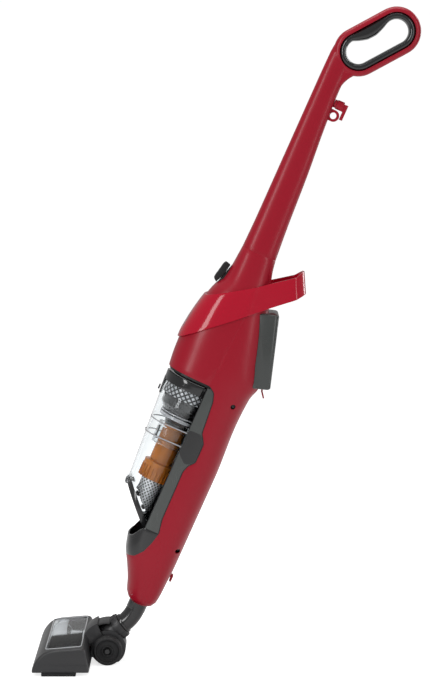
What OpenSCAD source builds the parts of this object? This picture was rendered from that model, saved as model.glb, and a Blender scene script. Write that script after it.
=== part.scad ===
// Upright bagless stick vacuum: leaning body with a clear dust cup, D-grip handle and a turbine floor head.
// The body is drawn upright about the floor head's pivot (x to the rear, z up its spine) and then leaned back.

/* [Stance] */
// Lean of the body back from upright, in degrees
lean = 24; // [10:1:35]

/* [Body] */
// Width of the casing at the motor hood
body_w = 122; // [104:1:150]
// Wall of the moulded casings
wall = 2.6; // [1.8:0.1:3.4]
// Height of the casing's lower end above the pivot, along the body
base_s = 92; // [88:1:104]
// Length of the lower cover, from its end to the chin
lower_len = 73; // [66:1:90]
// Length of the open bay for the dust cup
bay_len = 297; // [290:1:330]
// Length of the motor hood and neck
hood_len = 234; // [225:1:270]
// Slant height of the carry band at the front
band_h = 56; // [46:1:62]
// Thickness of the carry band
band_t = 3.4; // [2.4:0.1:5]

/* [Handle] */
// Length from the neck seam to the first centre of the grip loop
handle_len = 375; // [310:1:460]
// Width of the handle at the neck seam
handle_w = 56; // [48:1:60]
// Width of the handle just below the grip
handle_top_w = 33; // [28:1:38]
// Distance between the two centres of the grip loop
loop_len = 72; // [60:1:90]
// Turn of the grip loop back from the handle's line, in degrees
loop_turn = 37.7; // [20:0.5:50]
// Outer radius of the grip loop
loop_r = 41; // [38:0.5:48]
// Radius of the hand hole
hand_r = 20; // [16:0.5:23]
// Thickness of the grip loop across the hand
grip_w = 30; // [24:1:38]

/* [Dust cup] */
// Radius of the cup at its collar
cup_top_r = 52; // [48:0.5:54]
// Radius of the cup 168 mm lower
cup_low_r = 41.5; // [38:0.5:45]
// Wall of the clear cup
cup_wall_t = 2.2; // [1.6:0.1:3]
// Gap between the cup and its bay
cup_gap = 1.4; // [0.8:0.1:2]
// Thickness of the slanted lid
lid_t = 9; // [7:0.5:11]

/* [Motor] */
// Outer radius of the fan housing
fan_r = 49; // [42:0.5:50]
// Outer radius of the motor can
motor_r = 38; // [34:0.5:40]
// Radius of the motor shaft
shaft_r = 4; // [3:0.25:5]

/* [Floor head] */
// Width of the floor head
head_w = 240; // [210:1:300]
// Depth of the floor head, front to rear
head_d = 96; // [92:1:110]
// Radius of the rear wheels, and height of the pivot
wheel_r = 25; // [24:0.5:28]
// Width of a rear wheel
wheel_w = 20; // [14:1:24]
// Radius of the wheels' axle stubs
axle_r = 4; // [3:0.25:5]
// Radius of the yoke drum
drum_r = 30.5; // [29:0.5:32]
// Radius of the dome over the yoke
dome_r = 47.5; // [46.5:0.5:50]
// Length of the yoke drum
drum_w = 44; // [40:1:50]
// Outer radius of the neck pipe
pipe_r = 16.5; // [14:0.5:17]
// Bend of the neck pipe, in degrees
pipe_bend = 30; // [20:1:35]
// Radius of the brush roll's core
brush_core_r = 12; // [10:0.5:13]
// Reach of the bristles from the roll's axis
bristle_r = 19; // [16:0.5:19.5]

/* [Fits] */
// Radial clearance of pins and shafts that turn
run_gap = 0.06; // [0.02:0.01:0.1]
// Gap between moulded pieces that move past each other
slip_gap = 0.5; // [0.3:0.05:1]
// Gap between pieces that seat on each other
seat_gap = 0.05; // [0:0.01:0.2]

/* [Hidden] */
$fn = 64;

// Stations along the body
s_chin = base_s + lower_len;
s_bay = s_chin + 29;
s_hood = s_bay + bay_len;
s_neck = s_hood + hood_len;
s_grip = s_neck + handle_len;
half_w = body_w / 2;
pivot_h = wheel_r;
big = 400;

// Casing outline as [height, front, rear, half width]
BODY = [
    [base_s, 1, 34, 0.40 * half_w],
    [base_s + 4, -5, 40, 0.50 * half_w],
    [base_s + 12, -11, 44.5, 0.58 * half_w],
    [base_s + 30, -17.5, 46.5, 0.69 * half_w],
    [base_s + 58, -31, 47.5, 0.82 * half_w],
    [s_chin + 7, -43, 48.5, 0.90 * half_w],
    [s_bay, -49, 48.5, 0.94 * half_w],
    [s_bay + 150, -80, 48.5, 0.99 * half_w],
    [s_hood - 50, -100, 44.5, half_w],
    [s_hood, -102.5, 47, half_w],
    [s_hood + 25, -105, 54, half_w],
    [s_hood + 60, -106, 43, 0.99 * half_w],
    [s_hood + 100, -101, 31, 0.95 * half_w],
    [s_hood + 140, -92, 18.5, 0.86 * half_w],
    [s_hood + 159, -85.5, 12.5, 0.79 * half_w],
    [s_hood + 171, -77.5, 8, 0.74 * half_w],
    [s_hood + 194, -73.5, 0, 0.62 * half_w],
    [s_hood + 216, -71.5, -6, 0.53 * half_w],
    [s_neck, -70, -9, handle_w / 2]];

// Handle outline, in the same form
HANDLE = [
    [s_neck, -70, -9, handle_w / 2],
    [s_neck + 60, -69, -13.5, 0.84 * handle_w / 2],
    [s_neck + 150, -69, -18.5, 0.72 * handle_w / 2],
    [s_neck + 235, -69, -25, handle_top_w / 2 + 1],
    [s_grip - 70, -69, -28.5, handle_top_w / 2],
    [s_grip - 18, -68.5, -27, grip_w / 2 - 0.4],
    [s_grip - 2, -66.8, -22, grip_w / 2 - 0.4]];

// Seams in side view, as [rear, height]
bay_front = -28;
s_bay0 = s_bay + 30;
CHIN_TIP = [[-3, s_bay0]];
LOWER_SEAM = [[19, base_s - 5], [18, base_s + 16], [16, base_s + 62], [15, base_s + 100], [9, base_s + 118]];
CHIN_LOW = [[-7, s_bay + 12], [-14, s_bay - 7], [-25, s_chin + 7], [-37, s_chin]];
CHIN_TOP = [[-49.5, s_bay], [-42, s_bay + 8], [-34, s_bay + 24], [bay_front, s_bay0]];
BAY_REAR = [[-8, s_bay + 56], [-9, s_bay + 146], [-5, s_bay + 158],
    [4, s_bay + 168], [4, s_bay + 202], [-6, s_bay + 218], [-11, s_hood - 23], [-16, s_hood - 8]];
HOOD_SEAM = [[bay_front, s_hood], [-21, s_hood + 113], [-14, s_hood + 158], [-140, s_hood + 88]];

// Dust cup
cup_x = -47.5;
s_cup_top = s_hood - 19;
s_cup_floor = s_bay + 23;
s_lid_edge = s_bay + 28;
x_lid_edge = -33;
lid_slope = 46;
function cup_r(s) = cup_low_r + (cup_top_r - cup_low_r) * (s - (s_cup_top - 168)) / 168;
hinge_x = -86.5;
hinge_s = s_lid_edge + 57;
hinge_pin_r = 1.5;
s_inlet = s_bay + 184;
inlet_r = 11;

// Motor, fan and duct
motor_x = -42;
s_fan = s_hood + 6;
fan_h = 33;
s_can = s_fan + fan_h + 1;
can_h = 58;
duct_r = 12.5;
duct_wall = 2;
duct_x = cup_x + cup_r(s_inlet) + cup_gap + wall + duct_r + 4;
pipe_x = 17;
pipe_wall = 2.5;
s_pipe_top = base_s + 58;

// Neck pipe: straight down to s_bend, then a bend towards the front that ends in the swivel collar
bend_R = 66;
s_bend = base_s - 14;
spigot_rise = 8.5;
pipe_step = 0.4;
collar_x = pipe_x - bend_R * (1 - cos(pipe_bend)) - spigot_rise * sin(pipe_bend);
collar_s = s_bend - bend_R * sin(pipe_bend) - spigot_rise * cos(pipe_bend);
collar_r = 21.5;
collar_len = 13;

// Exhaust cover plane, behind the casing
ex_x = 54;
ex_s = s_hood + 25;
ex_turn = atan((54 - 12.5) / (159 - 25));
ex_len = 134;
ex_depth = 18;
ex_w = 0.72 * body_w;

// Floor head, from the floor and the pivot
head_x1 = -28;
head_x0 = head_x1 - head_d;
half_head = head_w / 2;
sole_z = 6;
split_z = 21;
head_wall = 2.4;
brush_x = head_x0 + 37;
brush_z = bristle_r + 1.5;
turbine_x = head_x1 - 17;
turbine_z = 26;
turbine_r = 12;
belt_y = -(half_head - 21);
belt_w = 8;
pulley_turbine_r = 5;
belt_t = 1.6;
brush_half = half_head - 13;
cheek_t = 6;
cheek_y = drum_w / 2 + slip_gap;
wheel_y = cheek_y + cheek_t + slip_gap;
brush_shaft_r = 3;
dome_t = 2.4;
dome_z = split_z + 11.2;
dome_tan = tan(22.5);
shield_r = dome_r - dome_t - slip_gap;
chamber_w = drum_w + 2 * slip_gap;

// ---- helpers ----

// One signed power, for the rounded sections
function spow(v, p) = sign(v) * pow(abs(v), p);
function ring(r, n, e) = [for (i = [0:n - 1]) let (t = 360 * i / n)
    [(r[1] + r[2]) / 2 + (r[2] - r[1]) / 2 * spow(cos(t), 2 / e), r[3] * spow(sin(t), 2 / e), r[0]]];
function inset(table, t) = [for (r = table) [r[0], r[1] + t, r[2] - t, r[3] - t]];

// A body that runs through a table of rounded sections
module loft(table, n = 28, e = 2.7) {
    m = len(table);
    pts = [for (r = table) each ring(r, n, e)];
    sides = [for (k = [0:m - 2], i = [0:n - 1]) let (j = (i + 1) % n)
        each [[k * n + i, (k + 1) * n + i, (k + 1) * n + j], [k * n + i, (k + 1) * n + j, k * n + j]]];
    polyhedron(points = pts, faces = concat(
        [[for (i = [0:n - 1]) i]], sides, [[for (i = [n - 1:-1:0]) (m - 1) * n + i]]));
}

// A side-view outline, as deep as w and centred on the middle plane
module side(outline, w = 2 * big) {
    rotate([90, 0, 0]) linear_extrude(w, center = true) polygon(outline);
}

// A cylinder along Y, centred on y
module across(r, w, x, y, z) {
    translate([x, y, z]) rotate([90, 0, 0]) cylinder(r = r, h = w, center = true);
}

module leaned() {
    translate([0, 0, pivot_h]) rotate([0, lean, 0]) children();
}

module left_half() {
    intersection() {
        children();
        translate([-big, -big, -big]) cube([2 * big, big, 5 * big]);
    }
}

module right_half() {
    intersection() {
        children();
        translate([-big, 0, -big]) cube([2 * big, big, 5 * big]);
    }
}

// ---- casings ----

module casing_skin() {
    inner = concat([[base_s + wall, BODY[1][1] + wall, BODY[1][2] - wall, BODY[1][3] - wall]],
        inset([for (i = [2:len(BODY) - 1]) BODY[i]], wall),
        [[s_neck + 1, -70 + wall, -9 - wall, handle_w / 2 - wall]]);
    difference() {
        loft(BODY);
        loft(inner);
    }
}

// Screws join the two spine halves at these places, as [rear, height, depth of the screw post's end]
SCREWS = [[24, s_hood - 18, -0.68 * half_w], [39.5, s_bay + 13, -0.38 * half_w]];
boss_r = 4;
screw_r = 1.8;
screw_head_r = 3.4;

module spine_region() {
    side(concat(LOWER_SEAM, CHIN_TIP, BAY_REAR, HOOD_SEAM,
        [[-140, s_neck], [big / 2, s_neck], [big / 2, base_s - 5]]));
}

module spine() {
    difference() {
        intersection() {
            casing_skin();
            spine_region();
        }
        // neck pipe, switch stem, exhaust slots and cord gland
        translate([pipe_x, 0, base_s - 10]) cylinder(r = pipe_r + 0.1, h = 30);
        switch_frame() translate([-5, -4, 11]) cube([30, 8, 10 + switch_travel]);
        exhaust_frame() for (k = [0:6])
            translate([-15, -ex_w / 2 + 14, 20 + 15 * k]) cube([30, ex_w - 28, 6]);
        gland_place() cylinder(r = 8 + seat_gap, h = 40, center = true);
    }
}

module spine_left() {
    color([0.65, 0.11, 0.17]) leaned() difference() {
        left_half() spine();
        for (p = SCREWS) across(screw_head_r + 0.8, 60, p[0], p[2] - 30, p[1]);
    }
}

module spine_right() {
    color([0.65, 0.11, 0.17]) leaned() difference() {
        union() {
            right_half() spine();
            for (p = SCREWS) intersection() {
                across(boss_r, big, p[0], p[2] + big / 2, p[1]);
                loft(inset(BODY, wall / 2));
            }
        }
        for (p = SCREWS) across(screw_r + seat_gap, 50, p[0], p[2], p[1]);
    }
}

module housing_screws() {
    color([0.35, 0.35, 0.36]) leaned() for (p = SCREWS)
        translate([p[0], p[2] - seat_gap, p[1]]) rotate([-90, 0, 0]) {
            cylinder(r = screw_r, h = 22);
            translate([0, 0, -3]) cylinder(r = screw_head_r, h = 3);
        }
}

module front_hood() {
    color([0.68, 0.12, 0.18]) leaned() intersection() {
        casing_skin();
        side(concat([[-140, s_hood]], HOOD_SEAM));
    }
}

module lower_cover() {
    color([0.65, 0.11, 0.17]) leaned() difference() {
        intersection() {
            casing_skin();
            side(concat([[-140, base_s - 5]], LOWER_SEAM, CHIN_TIP, CHIN_LOW, [[-140, s_chin]]));
        }
        translate([pipe_x, 0, base_s - 10]) cylinder(r = pipe_r + 0.1, h = 30);
    }
}

module chin_cradle() {
    color([0.16, 0.16, 0.17]) leaned() {
        intersection() {
            casing_skin();
            side(concat([[-140, s_chin]], [for (i = [len(CHIN_LOW) - 1:-1:0]) CHIN_LOW[i]], CHIN_TIP,
                [for (i = [len(CHIN_TOP) - 1:-1:0]) CHIN_TOP[i]], [[-140, s_bay]]));
        }
        intersection() {
            loft(inset(BODY, wall));
            side([[-60, s_bay - 14], [-8, s_bay + 6], [-8, s_bay + 6 + wall], [-60, s_bay - 14 + wall]]);
        }
    }
}

// Cone that follows the cup at a gap
module cup_cone(gap, s0, s1) {
    translate([cup_x, 0, s0]) cylinder(r1 = cup_r(s0) + gap, r2 = cup_r(s1) + gap, h = s1 - s0);
}

module cup_bay() {
    color([0.33, 0.34, 0.34]) leaned() difference() {
        union() {
            intersection() {
                casing_skin();
                side(concat([[bay_front, s_bay0]], CHIN_TIP, BAY_REAR, [[bay_front, s_hood]]));
            }
            intersection() {
                cup_cone(cup_gap + wall, s_bay0, s_hood - 4.5);
                translate([bay_front, -big, 0]) cube([big, 2 * big, 3 * big]);
            }
            // face that joins the liner to the sides
            intersection() {
                translate([bay_front, -big, s_bay0]) cube([wall, 2 * big, bay_len - 34.5]);
                loft(inset(BODY, 1));
            }
        }
        cup_cone(cup_gap, s_bay0 - 10, s_hood);
        translate([0, 0, s_inlet]) rotate([0, 90, 0]) cylinder(r = inlet_r + 0.5, h = 60, center = true);
        translate([-60, -big, s_hood - 4.5]) cube([200, 2 * big, 10]);
    }
}

// Ceiling of the bay, under the motor
module intake_plate() {
    color([0.12, 0.12, 0.12]) leaned() difference() {
        intersection() {
            loft(inset(BODY, wall + 0.2));
            translate([-big, -big, s_hood - 4]) cube([2 * big, 2 * big, 3.6]);
        }
        translate([motor_x, 0, s_hood - 10]) cylinder(r = 24, h = 20);
    }
}

// ---- carry band, badge, hooks ----

s_band = s_hood + 79;
function body_half(s) = lookup(s, [for (r = BODY) [r[0], r[3]]]);

// One arm of the band, from the hood's side back to the round end: y is 1 for the right arm
module band_arm(y) {
    x0 = -24;
    s0 = s_band + 46;
    s1 = s_band + 102;
    reach = 19;
    y1 = sqrt(band_end_r * band_end_r - reach * reach);
    end = [for (z = [-55, 45]) [band_end_x + reach * cos(band_tilt) - z * sin(band_tilt),
        s_band_end + reach * sin(band_tilt) + z * cos(band_tilt), y1]];
    corners = [for (t = [-1, band_t], p = [[x0, s0 - 8, body_half(s0)], end[0], end[1],
        [x0, s1 + 8, body_half(s1)]])
        [p[0], y * (p[2] + (p[0] < 0 ? t : t * 0.95 - 0.1)), p[1]]];
    faces = [[3, 2, 1, 0], [4, 5, 6, 7], [0, 1, 5, 4], [1, 2, 6, 5], [2, 3, 7, 6], [3, 0, 4, 7]];
    polyhedron(corners, y > 0 ? faces : [for (f = faces) [for (i = [3:-1:0]) f[i]]]);
}

// Round end of the band: its centre, radius and lean towards the front
band_end_x = 10;
s_band_end = s_hood + 220;
band_end_r = 34;
band_tilt = 28;
module carry_band() {
    color([0.75, 0.02, 0.14]) leaned() difference() {
        intersection() {
            union() {
                intersection() {
                    loft(inset(BODY, -band_t));
                    translate([-big, -big, 0]) cube([big - 22, 2 * big, 5 * big]);
                }
                band_arm(-1);
                band_arm(1);
                translate([band_end_x, 0, s_band_end]) rotate([0, -band_tilt, 0]) intersection() {
                    difference() {
                        cylinder(r = band_end_r + band_t, h = 120, center = true);
                        cylinder(r = band_end_r, h = 122, center = true);
                    }
                    translate([18, -50, -60]) cube([60, 100, 120]);
                }
            }
            side([[-130, s_band - 48], [-78, s_band], [13, s_band + 80], [48, s_band + 109], [60, s_band + 123.5],
                [72, s_band + 131], [54, s_band + 164], [44, s_band + 157], [33, s_band + 144], [-22, s_band + 103],
                [-89, s_band + band_h + 3], [-130, s_band + band_h - 20]]);
        }
        loft(BODY);
        badge_place() cylinder(r = badge_r + 0.3, h = 30, center = true);
    }
}

badge_r = 17;
module badge_place() {
    translate([-103.6, 0, s_hood + 74]) rotate([0, -86, 0]) children();
}

module badge_disc() {
    color([0.7, 0.7, 0.72]) leaned() difference() {
        badge_place() cylinder(r = badge_r, h = 3.6);
        loft(BODY);
    }
}

// Cord eye and hooks, on the handle's rear
s_hook = s_neck + 276;
hook_x = -26.5;
eye_r = 5.6;
module cord_eye() {
    color([0.65, 0.11, 0.17]) leaned() difference() {
        union() {
            across(10, 9, hook_x + 6, 0, s_hook - 15);
            translate([hook_x - 3, -4.5, s_hook - 25]) cube([9, 9, 20]);
        }
        across(eye_r, 20, hook_x + 6, 0, s_hook - 15);
        loft(HANDLE);
    }
}

hook_pin_r = 4;
hook_pin_len = 16;
module hook_pivot() {
    color([0.65, 0.11, 0.17]) leaned() translate([hook_x - 1, 0, s_hook + 5]) rotate([0, 90, 0]) {
        difference() {
            union() {
                cylinder(r = hook_pin_r, h = hook_pin_len);
                cylinder(r = 7, h = 4);
            }
            translate([1 - hook_x, 0, 0]) cylinder(r = 1, h = 1);
        }
    }
}

module upper_cord_hook() {
    color([0.65, 0.11, 0.17]) leaned() translate([hook_x + 3 + slip_gap, 0, s_hook + 5]) {
        difference() {
            union() {
                rotate([0, 90, 0]) cylinder(r = 8, h = 12);
                translate([6, -6.5, -15]) cube([13, 13, 15]);
                translate([6, -6.5, 0]) cube([13, 13, 5]);
                translate([14, -6.5, -22]) cube([5, 13, 10]);
            }
            rotate([0, 90, 0]) cylinder(r = hook_pin_r + run_gap, h = hook_pin_len - 3);
            translate([5, -10, -16]) cube([9, 20, 8]);
        }
    }
}

module lower_cord_hook() {
    color([0.65, 0.11, 0.17]) leaned() difference() {
        union() {
            translate([44, -8, s_bay - 40.5]) cube([9, 16, 4.5]);
            translate([49.5, -8, s_bay - 48]) cube([3.5, 16, 10]);
        }
        loft(BODY);
    }
}

// Cord gland, low on the rear bulge and beside the middle
module gland_place() {
    translate([49, 24, s_hood + 13]) rotate([0, 105, 0]) children();
}

module cord_gland() {
    color([0.08, 0.08, 0.08]) leaned() gland_place() difference() {
        translate([0, 0, -9]) cylinder(r = 8, h = 12);
        cylinder(r = 4, h = 40, center = true);
    }
}

// ---- handle ----

grip_dir = [sin(loop_turn), 0, cos(loop_turn)];
loop_x = -69 + loop_r + 2;

// A flat shape in the grip's plane: first centre at the origin, second centre along x
module grip_frame() {
    translate([loop_x, 0, s_grip]) rotate([90, loop_turn - 90, 0]) children();
}

module stadium(r) {
    circle(r = r);
    translate([loop_len, 0]) circle(r = r);
    translate([0, -r]) square([loop_len, 2 * r]);
}

module grip_block(r, w) {
    grip_frame() linear_extrude(w, center = true) stadium(r);
}

insert_r = 0.78 * loop_r;
module handle() {
    difference() {
        union() {
            difference() {
                loft(HANDLE);
                loft(concat([[s_neck - 1, -70 + wall, -9 - wall, handle_w / 2 - wall]],
                    inset([for (i = [0:4]) HANDLE[i]], wall)));
            }
            grip_block(loop_r, grip_w);
            // web between the handle and the loop
            side([[-66, s_grip - 45], [-28.5, s_grip - 60], [-22, s_grip - 46], [-2, s_grip - 27],
                [-20, s_grip], [-66, s_grip]], grip_w - 4);
        }
        grip_block(insert_r, 2 * grip_w);
        translate([hook_x - 1, 0, s_hook + 5]) rotate([0, 90, 0]) cylinder(r = 7 + seat_gap, h = 8);
    }
}

module handle_left() {
    color([0.66, 0.11, 0.17]) leaned() left_half() handle();
}

module handle_right() {
    color([0.66, 0.11, 0.17]) leaned() right_half() handle();
}

// Swell of the insert into the hand hole, under the loop's upper side
bump_h = 10;
module grip_insert() {
    color([0.06, 0.06, 0.06]) leaned() difference() {
        grip_block(insert_r - seat_gap, grip_w + 2);
        grip_frame() linear_extrude(2 * grip_w, center = true) difference() {
            stadium(hand_r);
            polygon([[0.03 * loop_len, hand_r + 1], [0.13 * loop_len, hand_r - 0.45 * bump_h],
                [0.33 * loop_len, hand_r - 0.98 * bump_h], [0.55 * loop_len, hand_r - bump_h],
                [0.78 * loop_len, hand_r - 0.5 * bump_h], [0.92 * loop_len, hand_r + 1]]);
        }
    }
}

// ---- power switch ----

switch_travel = 6;
switch_tilt = 16.5;

// Frame of the switch: z runs up its slope, x points into the neck
module switch_frame() {
    translate([-88, 0, s_hood + 160]) rotate([0, switch_tilt, 0]) children();
}

module switch_slider() {
    color([0.07, 0.08, 0.07]) leaned() switch_frame() {
        side([[-6.2, 3.4], [-9.1, 30.7], [-7.2, 38], [1.2, 38], [3.2, 19], [1, 0.6]], 20);
        translate([0, -3, 12]) cube([18, 6, 8]);
    }
}

module switch_body() {
    color([0.1, 0.1, 0.1]) leaned() switch_frame() difference() {
        translate([15, -9, 4]) cube([13, 18, 32]);
        translate([14, -3 - slip_gap, 12 - slip_gap])
            cube([5, 6 + 2 * slip_gap, 8 + switch_travel + 2 * slip_gap]);
    }
}

module control_board() {
    color([0.1, 0.35, 0.15]) leaned() {
        translate([-40, -18, s_hood + 150]) cube([1.6, 36, 44]);
        translate([-38.4, -12, s_hood + 156]) cube([9, 10, 14]);
        translate([-38.4, 3, s_hood + 170]) cube([6, 8, 8]);
    }
}

// ---- fan and motor ----

module motor_axis(s) {
    translate([motor_x, 0, s]) children();
}

module fan_housing() {
    color([0.2, 0.2, 0.2]) leaned() motor_axis(s_fan) difference() {
        cylinder(r = fan_r, h = fan_h);
        translate([0, 0, 2]) cylinder(r = fan_r - 2, h = fan_h - 4);
        translate([0, 0, -1]) cylinder(r = 22, h = 4);
        translate([0, 0, fan_h - 3]) cylinder(r = shaft_r + 3, h = 4);
        for (a = [0:45:315]) rotate(a) translate([fan_r - 12, 0, fan_h - 3]) cylinder(r = 5, h = 4);
    }
}

fan_blades = 9;
module fan_impeller() {
    color([0.75, 0.76, 0.78]) leaned() motor_axis(s_fan + 6) difference() {
        union() {
            cylinder(r = fan_r - 5, h = 2);
            translate([0, 0, 18]) cylinder(r = fan_r - 5, h = 2);
            cylinder(r = shaft_r + 5, h = 20);
            for (i = [0:fan_blades - 1]) rotate(360 / fan_blades * i) rotate(25)
                translate([20, -1, 1]) cube([fan_r - 28, 2, 18]);
        }
        translate([0, 0, -1]) cylinder(r = shaft_r + seat_gap / 2, h = 30);
        translate([0, 0, -1]) difference() {
            cylinder(r = 19, h = 4);
            cylinder(r = shaft_r + 5, h = 10, center = true);
        }
    }
}

bearing_r = 9;
bearing_h = 6;
module motor_can() {
    color([0.6, 0.61, 0.62]) leaned() motor_axis(s_can) difference() {
        cylinder(r = motor_r, h = can_h);
        translate([0, 0, 3 + bearing_h]) cylinder(r = motor_r - 2.5, h = can_h - 6 - 2 * bearing_h);
        translate([0, 0, -1]) cylinder(r = bearing_r, h = can_h + 2);
        for (a = [0:45:315]) rotate(a) translate([motor_r - 12, 0, -1]) cylinder(r = 5, h = can_h + 2);
    }
}

module motor_stator() {
    color([0.5, 0.32, 0.2]) leaned() motor_axis(s_can + 16) difference() {
        cylinder(r = motor_r - 3, h = 26);
        translate([0, 0, -1]) cylinder(r = motor_r - 12, h = 28);
    }
}

module motor_rotor() {
    color([0.7, 0.7, 0.7]) leaned() motor_axis(s_fan + 3) {
        cylinder(r = shaft_r, h = fan_h + can_h + 3);
        translate([0, 0, fan_h + 15]) cylinder(r = motor_r - 13, h = 24);
        translate([0, 0, fan_h + 41]) cylinder(r = 8, h = 7);
    }
}

module motor_bearings() {
    color([0.75, 0.75, 0.75]) leaned() for (s = [s_can + 1, s_can + can_h - 1 - bearing_h])
        motor_axis(s) difference() {
            cylinder(r = bearing_r - seat_gap, h = bearing_h);
            translate([0, 0, -1]) cylinder(r = shaft_r + run_gap, h = bearing_h + 2);
        }
}

module motor_mount() {
    color([0.1, 0.1, 0.1]) leaned() motor_axis(s_can + can_h - 20) difference() {
        union() {
            cylinder(r = motor_r + 4, h = 10);
            for (a = [45:90:315]) rotate(a) translate([motor_r + 2, -5, 1]) cube([6, 10, 8]);
        }
        translate([0, 0, -1]) cylinder(r = motor_r + seat_gap, h = 12);
    }
}

// ---- exhaust ----

// Frame of the exhaust cover: z runs up the casing's slanting rear face, x points out of it
module exhaust_frame() {
    translate([ex_x, 0, ex_s]) rotate([0, -ex_turn, 0]) children();
}

module exhaust_cover() {
    color([0.37, 0.39, 0.38]) leaned() difference() {
        exhaust_frame() difference() {
            translate([-24, -ex_w / 2, 2]) cube([ex_depth + 24.6, ex_w, ex_len - 6]);
            translate([-30, -ex_w / 2 + 2.4, 4.4]) cube([ex_depth + 28.2, ex_w - 4.8, ex_len - 10.8]);
            for (k = [0:9]) translate([ex_depth - 5, -ex_w / 2 + 10, 12 + 11.5 * k])
                cube([10, ex_w - 20, 5]);
        }
        loft(inset(BODY, -slip_gap));
    }
}

module exhaust_filter() {
    color([0.9, 0.9, 0.88]) leaned() difference() {
        exhaust_frame() translate([1.5, -ex_w / 2 + 4, 8]) cube([12, ex_w - 8, ex_len - 20]);
        loft(inset(BODY, -slip_gap));
    }
}

module cover_latch() {
    color([0.65, 0.11, 0.17]) leaned() exhaust_frame() {
        translate([4, -7, -7.6]) cube([2.6, 14, 9]);
        translate([6.6, -7, -6]) rotate([0, 160, 0]) cube([2.6, 14, 12]);
    }
}

// ---- dust cup ----

// Everything above the slanted mouth, at a distance t along its normal
module above_mouth(t) {
    translate([x_lid_edge, 0, s_lid_edge]) rotate([0, lid_slope, 0])
        translate([-big, -big / 2, t]) cube([2 * big, big, big]);
}

// Everything in front of the lid's hinge and outside the nose that turns on it
nose_r = lid_t - 1.4;
module before_hinge(r) {
    difference() {
        translate([hinge_x, 0, hinge_s]) rotate([0, lid_slope, 0])
            translate([-big, -big / 2, -big]) cube([big, big, 2 * big]);
        across(r, 2 * big, hinge_x, 0, hinge_s);
    }
}

module cup_wall() {
    color([0.85, 0.88, 0.9, 0.4]) leaned() difference() {
        union() {
            intersection() {
                difference() {
                    cup_cone(0, s_cup_floor, s_cup_top);
                    cup_cone(-cup_wall_t, s_cup_floor + 3, s_cup_top + 1);
                }
                union() {
                    above_mouth(lid_t + 0.3);
                    intersection() {
                        before_hinge(nose_r + 0.5);
                        above_mouth(lid_t - 5);
                    }
                }
            }
            // ears for the lid's pin
            for (y = [-1, 1]) translate([hinge_x - 4, y * 15 - 2, hinge_s - 4]) cube([8, 4, 14]);
        }
        cup_cone(-cup_wall_t, hinge_s + 2, s_cup_top + 1);
        across(hinge_pin_r, 60, hinge_x, 0, hinge_s);
        translate([0, 0, s_inlet]) rotate([0, 90, 0]) cylinder(r = inlet_r, h = 60, center = true);
    }
}

module cup_collar() {
    color([0.08, 0.08, 0.08]) leaned() difference() {
        union() {
            cup_cone(0.8, s_cup_top - 6, s_cup_top + 10);
            // housing of the release button, down the front
            intersection() {
                cup_cone(1.5, s_cup_top - 32, s_cup_top);
                translate([-big, -11, s_cup_top - 32]) cube([big - 80, 22, 30]);
            }
        }
        cup_cone(0.1, s_cup_top - 40, s_cup_top + 0.1);
        translate([cup_x, 0, s_cup_top - 1]) cylinder(r = cup_top_r - 10, h = 30);
        translate([-120, -5.5, s_cup_top - 28]) cube([60, 11, 9]);
    }
}

latch_travel = 2.5;
module cup_latch() {
    color([0.07, 0.07, 0.07]) leaned() translate([cup_x - cup_r(s_cup_top - 24), -5, s_cup_top - 27.5])
        translate([-5.2, 0, 0]) cube([4.8 - latch_travel + 0.1, 10, 8]);
}

module foam_filter() {
    color([0.15, 0.15, 0.17]) leaned() translate([cup_x, 0, s_cup_top - 6]) difference() {
        cylinder(r = cup_top_r - 11, h = 11);
        translate([0, 0, -1]) cylinder(r = 8, h = 3);
    }
}

shroud_r = 34;
s_shroud = s_cup_top - 56;
module shroud_screen() {
    color([0.45, 0.45, 0.46]) leaned() translate([cup_x, 0, s_shroud]) difference() {
        union() {
            cylinder(r = shroud_r, h = 38);
            translate([0, 0, 38]) cylinder(r = cup_top_r - 6, h = 11);
            translate([0, 0, -2]) cylinder(r = shroud_r + 2.5, h = 3);
            translate([0, 0, -20]) cylinder(r1 = 21, r2 = 29, h = 19);
        }
        translate([0, 0, -1]) cylinder(r = shroud_r - 2, h = 60);
        translate([0, 0, -22]) cylinder(r1 = 19, r2 = 27, h = 22);
        for (a = [0:20:340], k = [0:2]) rotate(a + 10 * (k % 2)) translate([shroud_r - 6, 0, 10 + 9 * k])
            rotate([0, 90, 0]) cylinder(r = 2.4, h = 12);
    }
}

tube_r = 19;
s_collar2 = s_bay + 104;
module cyclone_tube() {
    color([0.75, 0.4, 0.1, 0.8]) leaned() translate([cup_x, 0, s_collar2 + 32]) difference() {
        cylinder(r1 = tube_r + 1, r2 = tube_r + 1.8, h = s_shroud - 20 - s_collar2 - 32 - seat_gap);
        translate([0, 0, -1]) cylinder(r = tube_r - 1, h = 200);
    }
}

module dirt_collar() {
    color([0.8, 0.42, 0.08]) leaned() translate([cup_x, 0, s_collar2]) difference() {
        union() {
            cylinder(r1 = 25, r2 = 27, h = 30);
            for (a = [0:15:345]) rotate(a) translate([25, -0.7, 0]) cube([2.6, 1.4, 22]);
            translate([0, 0, 30]) cylinder(r1 = 27, r2 = tube_r + 1, h = 2);
        }
        translate([0, 0, -1]) cylinder(r = tube_r - 1, h = 60);
        translate([0, 0, -1]) cylinder(r = 23, h = 26);
    }
}

module mesh_cone() {
    color([0.75, 0.76, 0.77]) leaned() intersection() {
        translate([cup_x, 0, s_collar2 - 60]) difference() {
            cylinder(r1 = 16, r2 = 19.5, h = 60);
            translate([0, 0, 2]) cylinder(r1 = 14.4, r2 = 17.8, h = 60);
        }
        above_mouth(lid_t + 4);
    }
}

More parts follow.
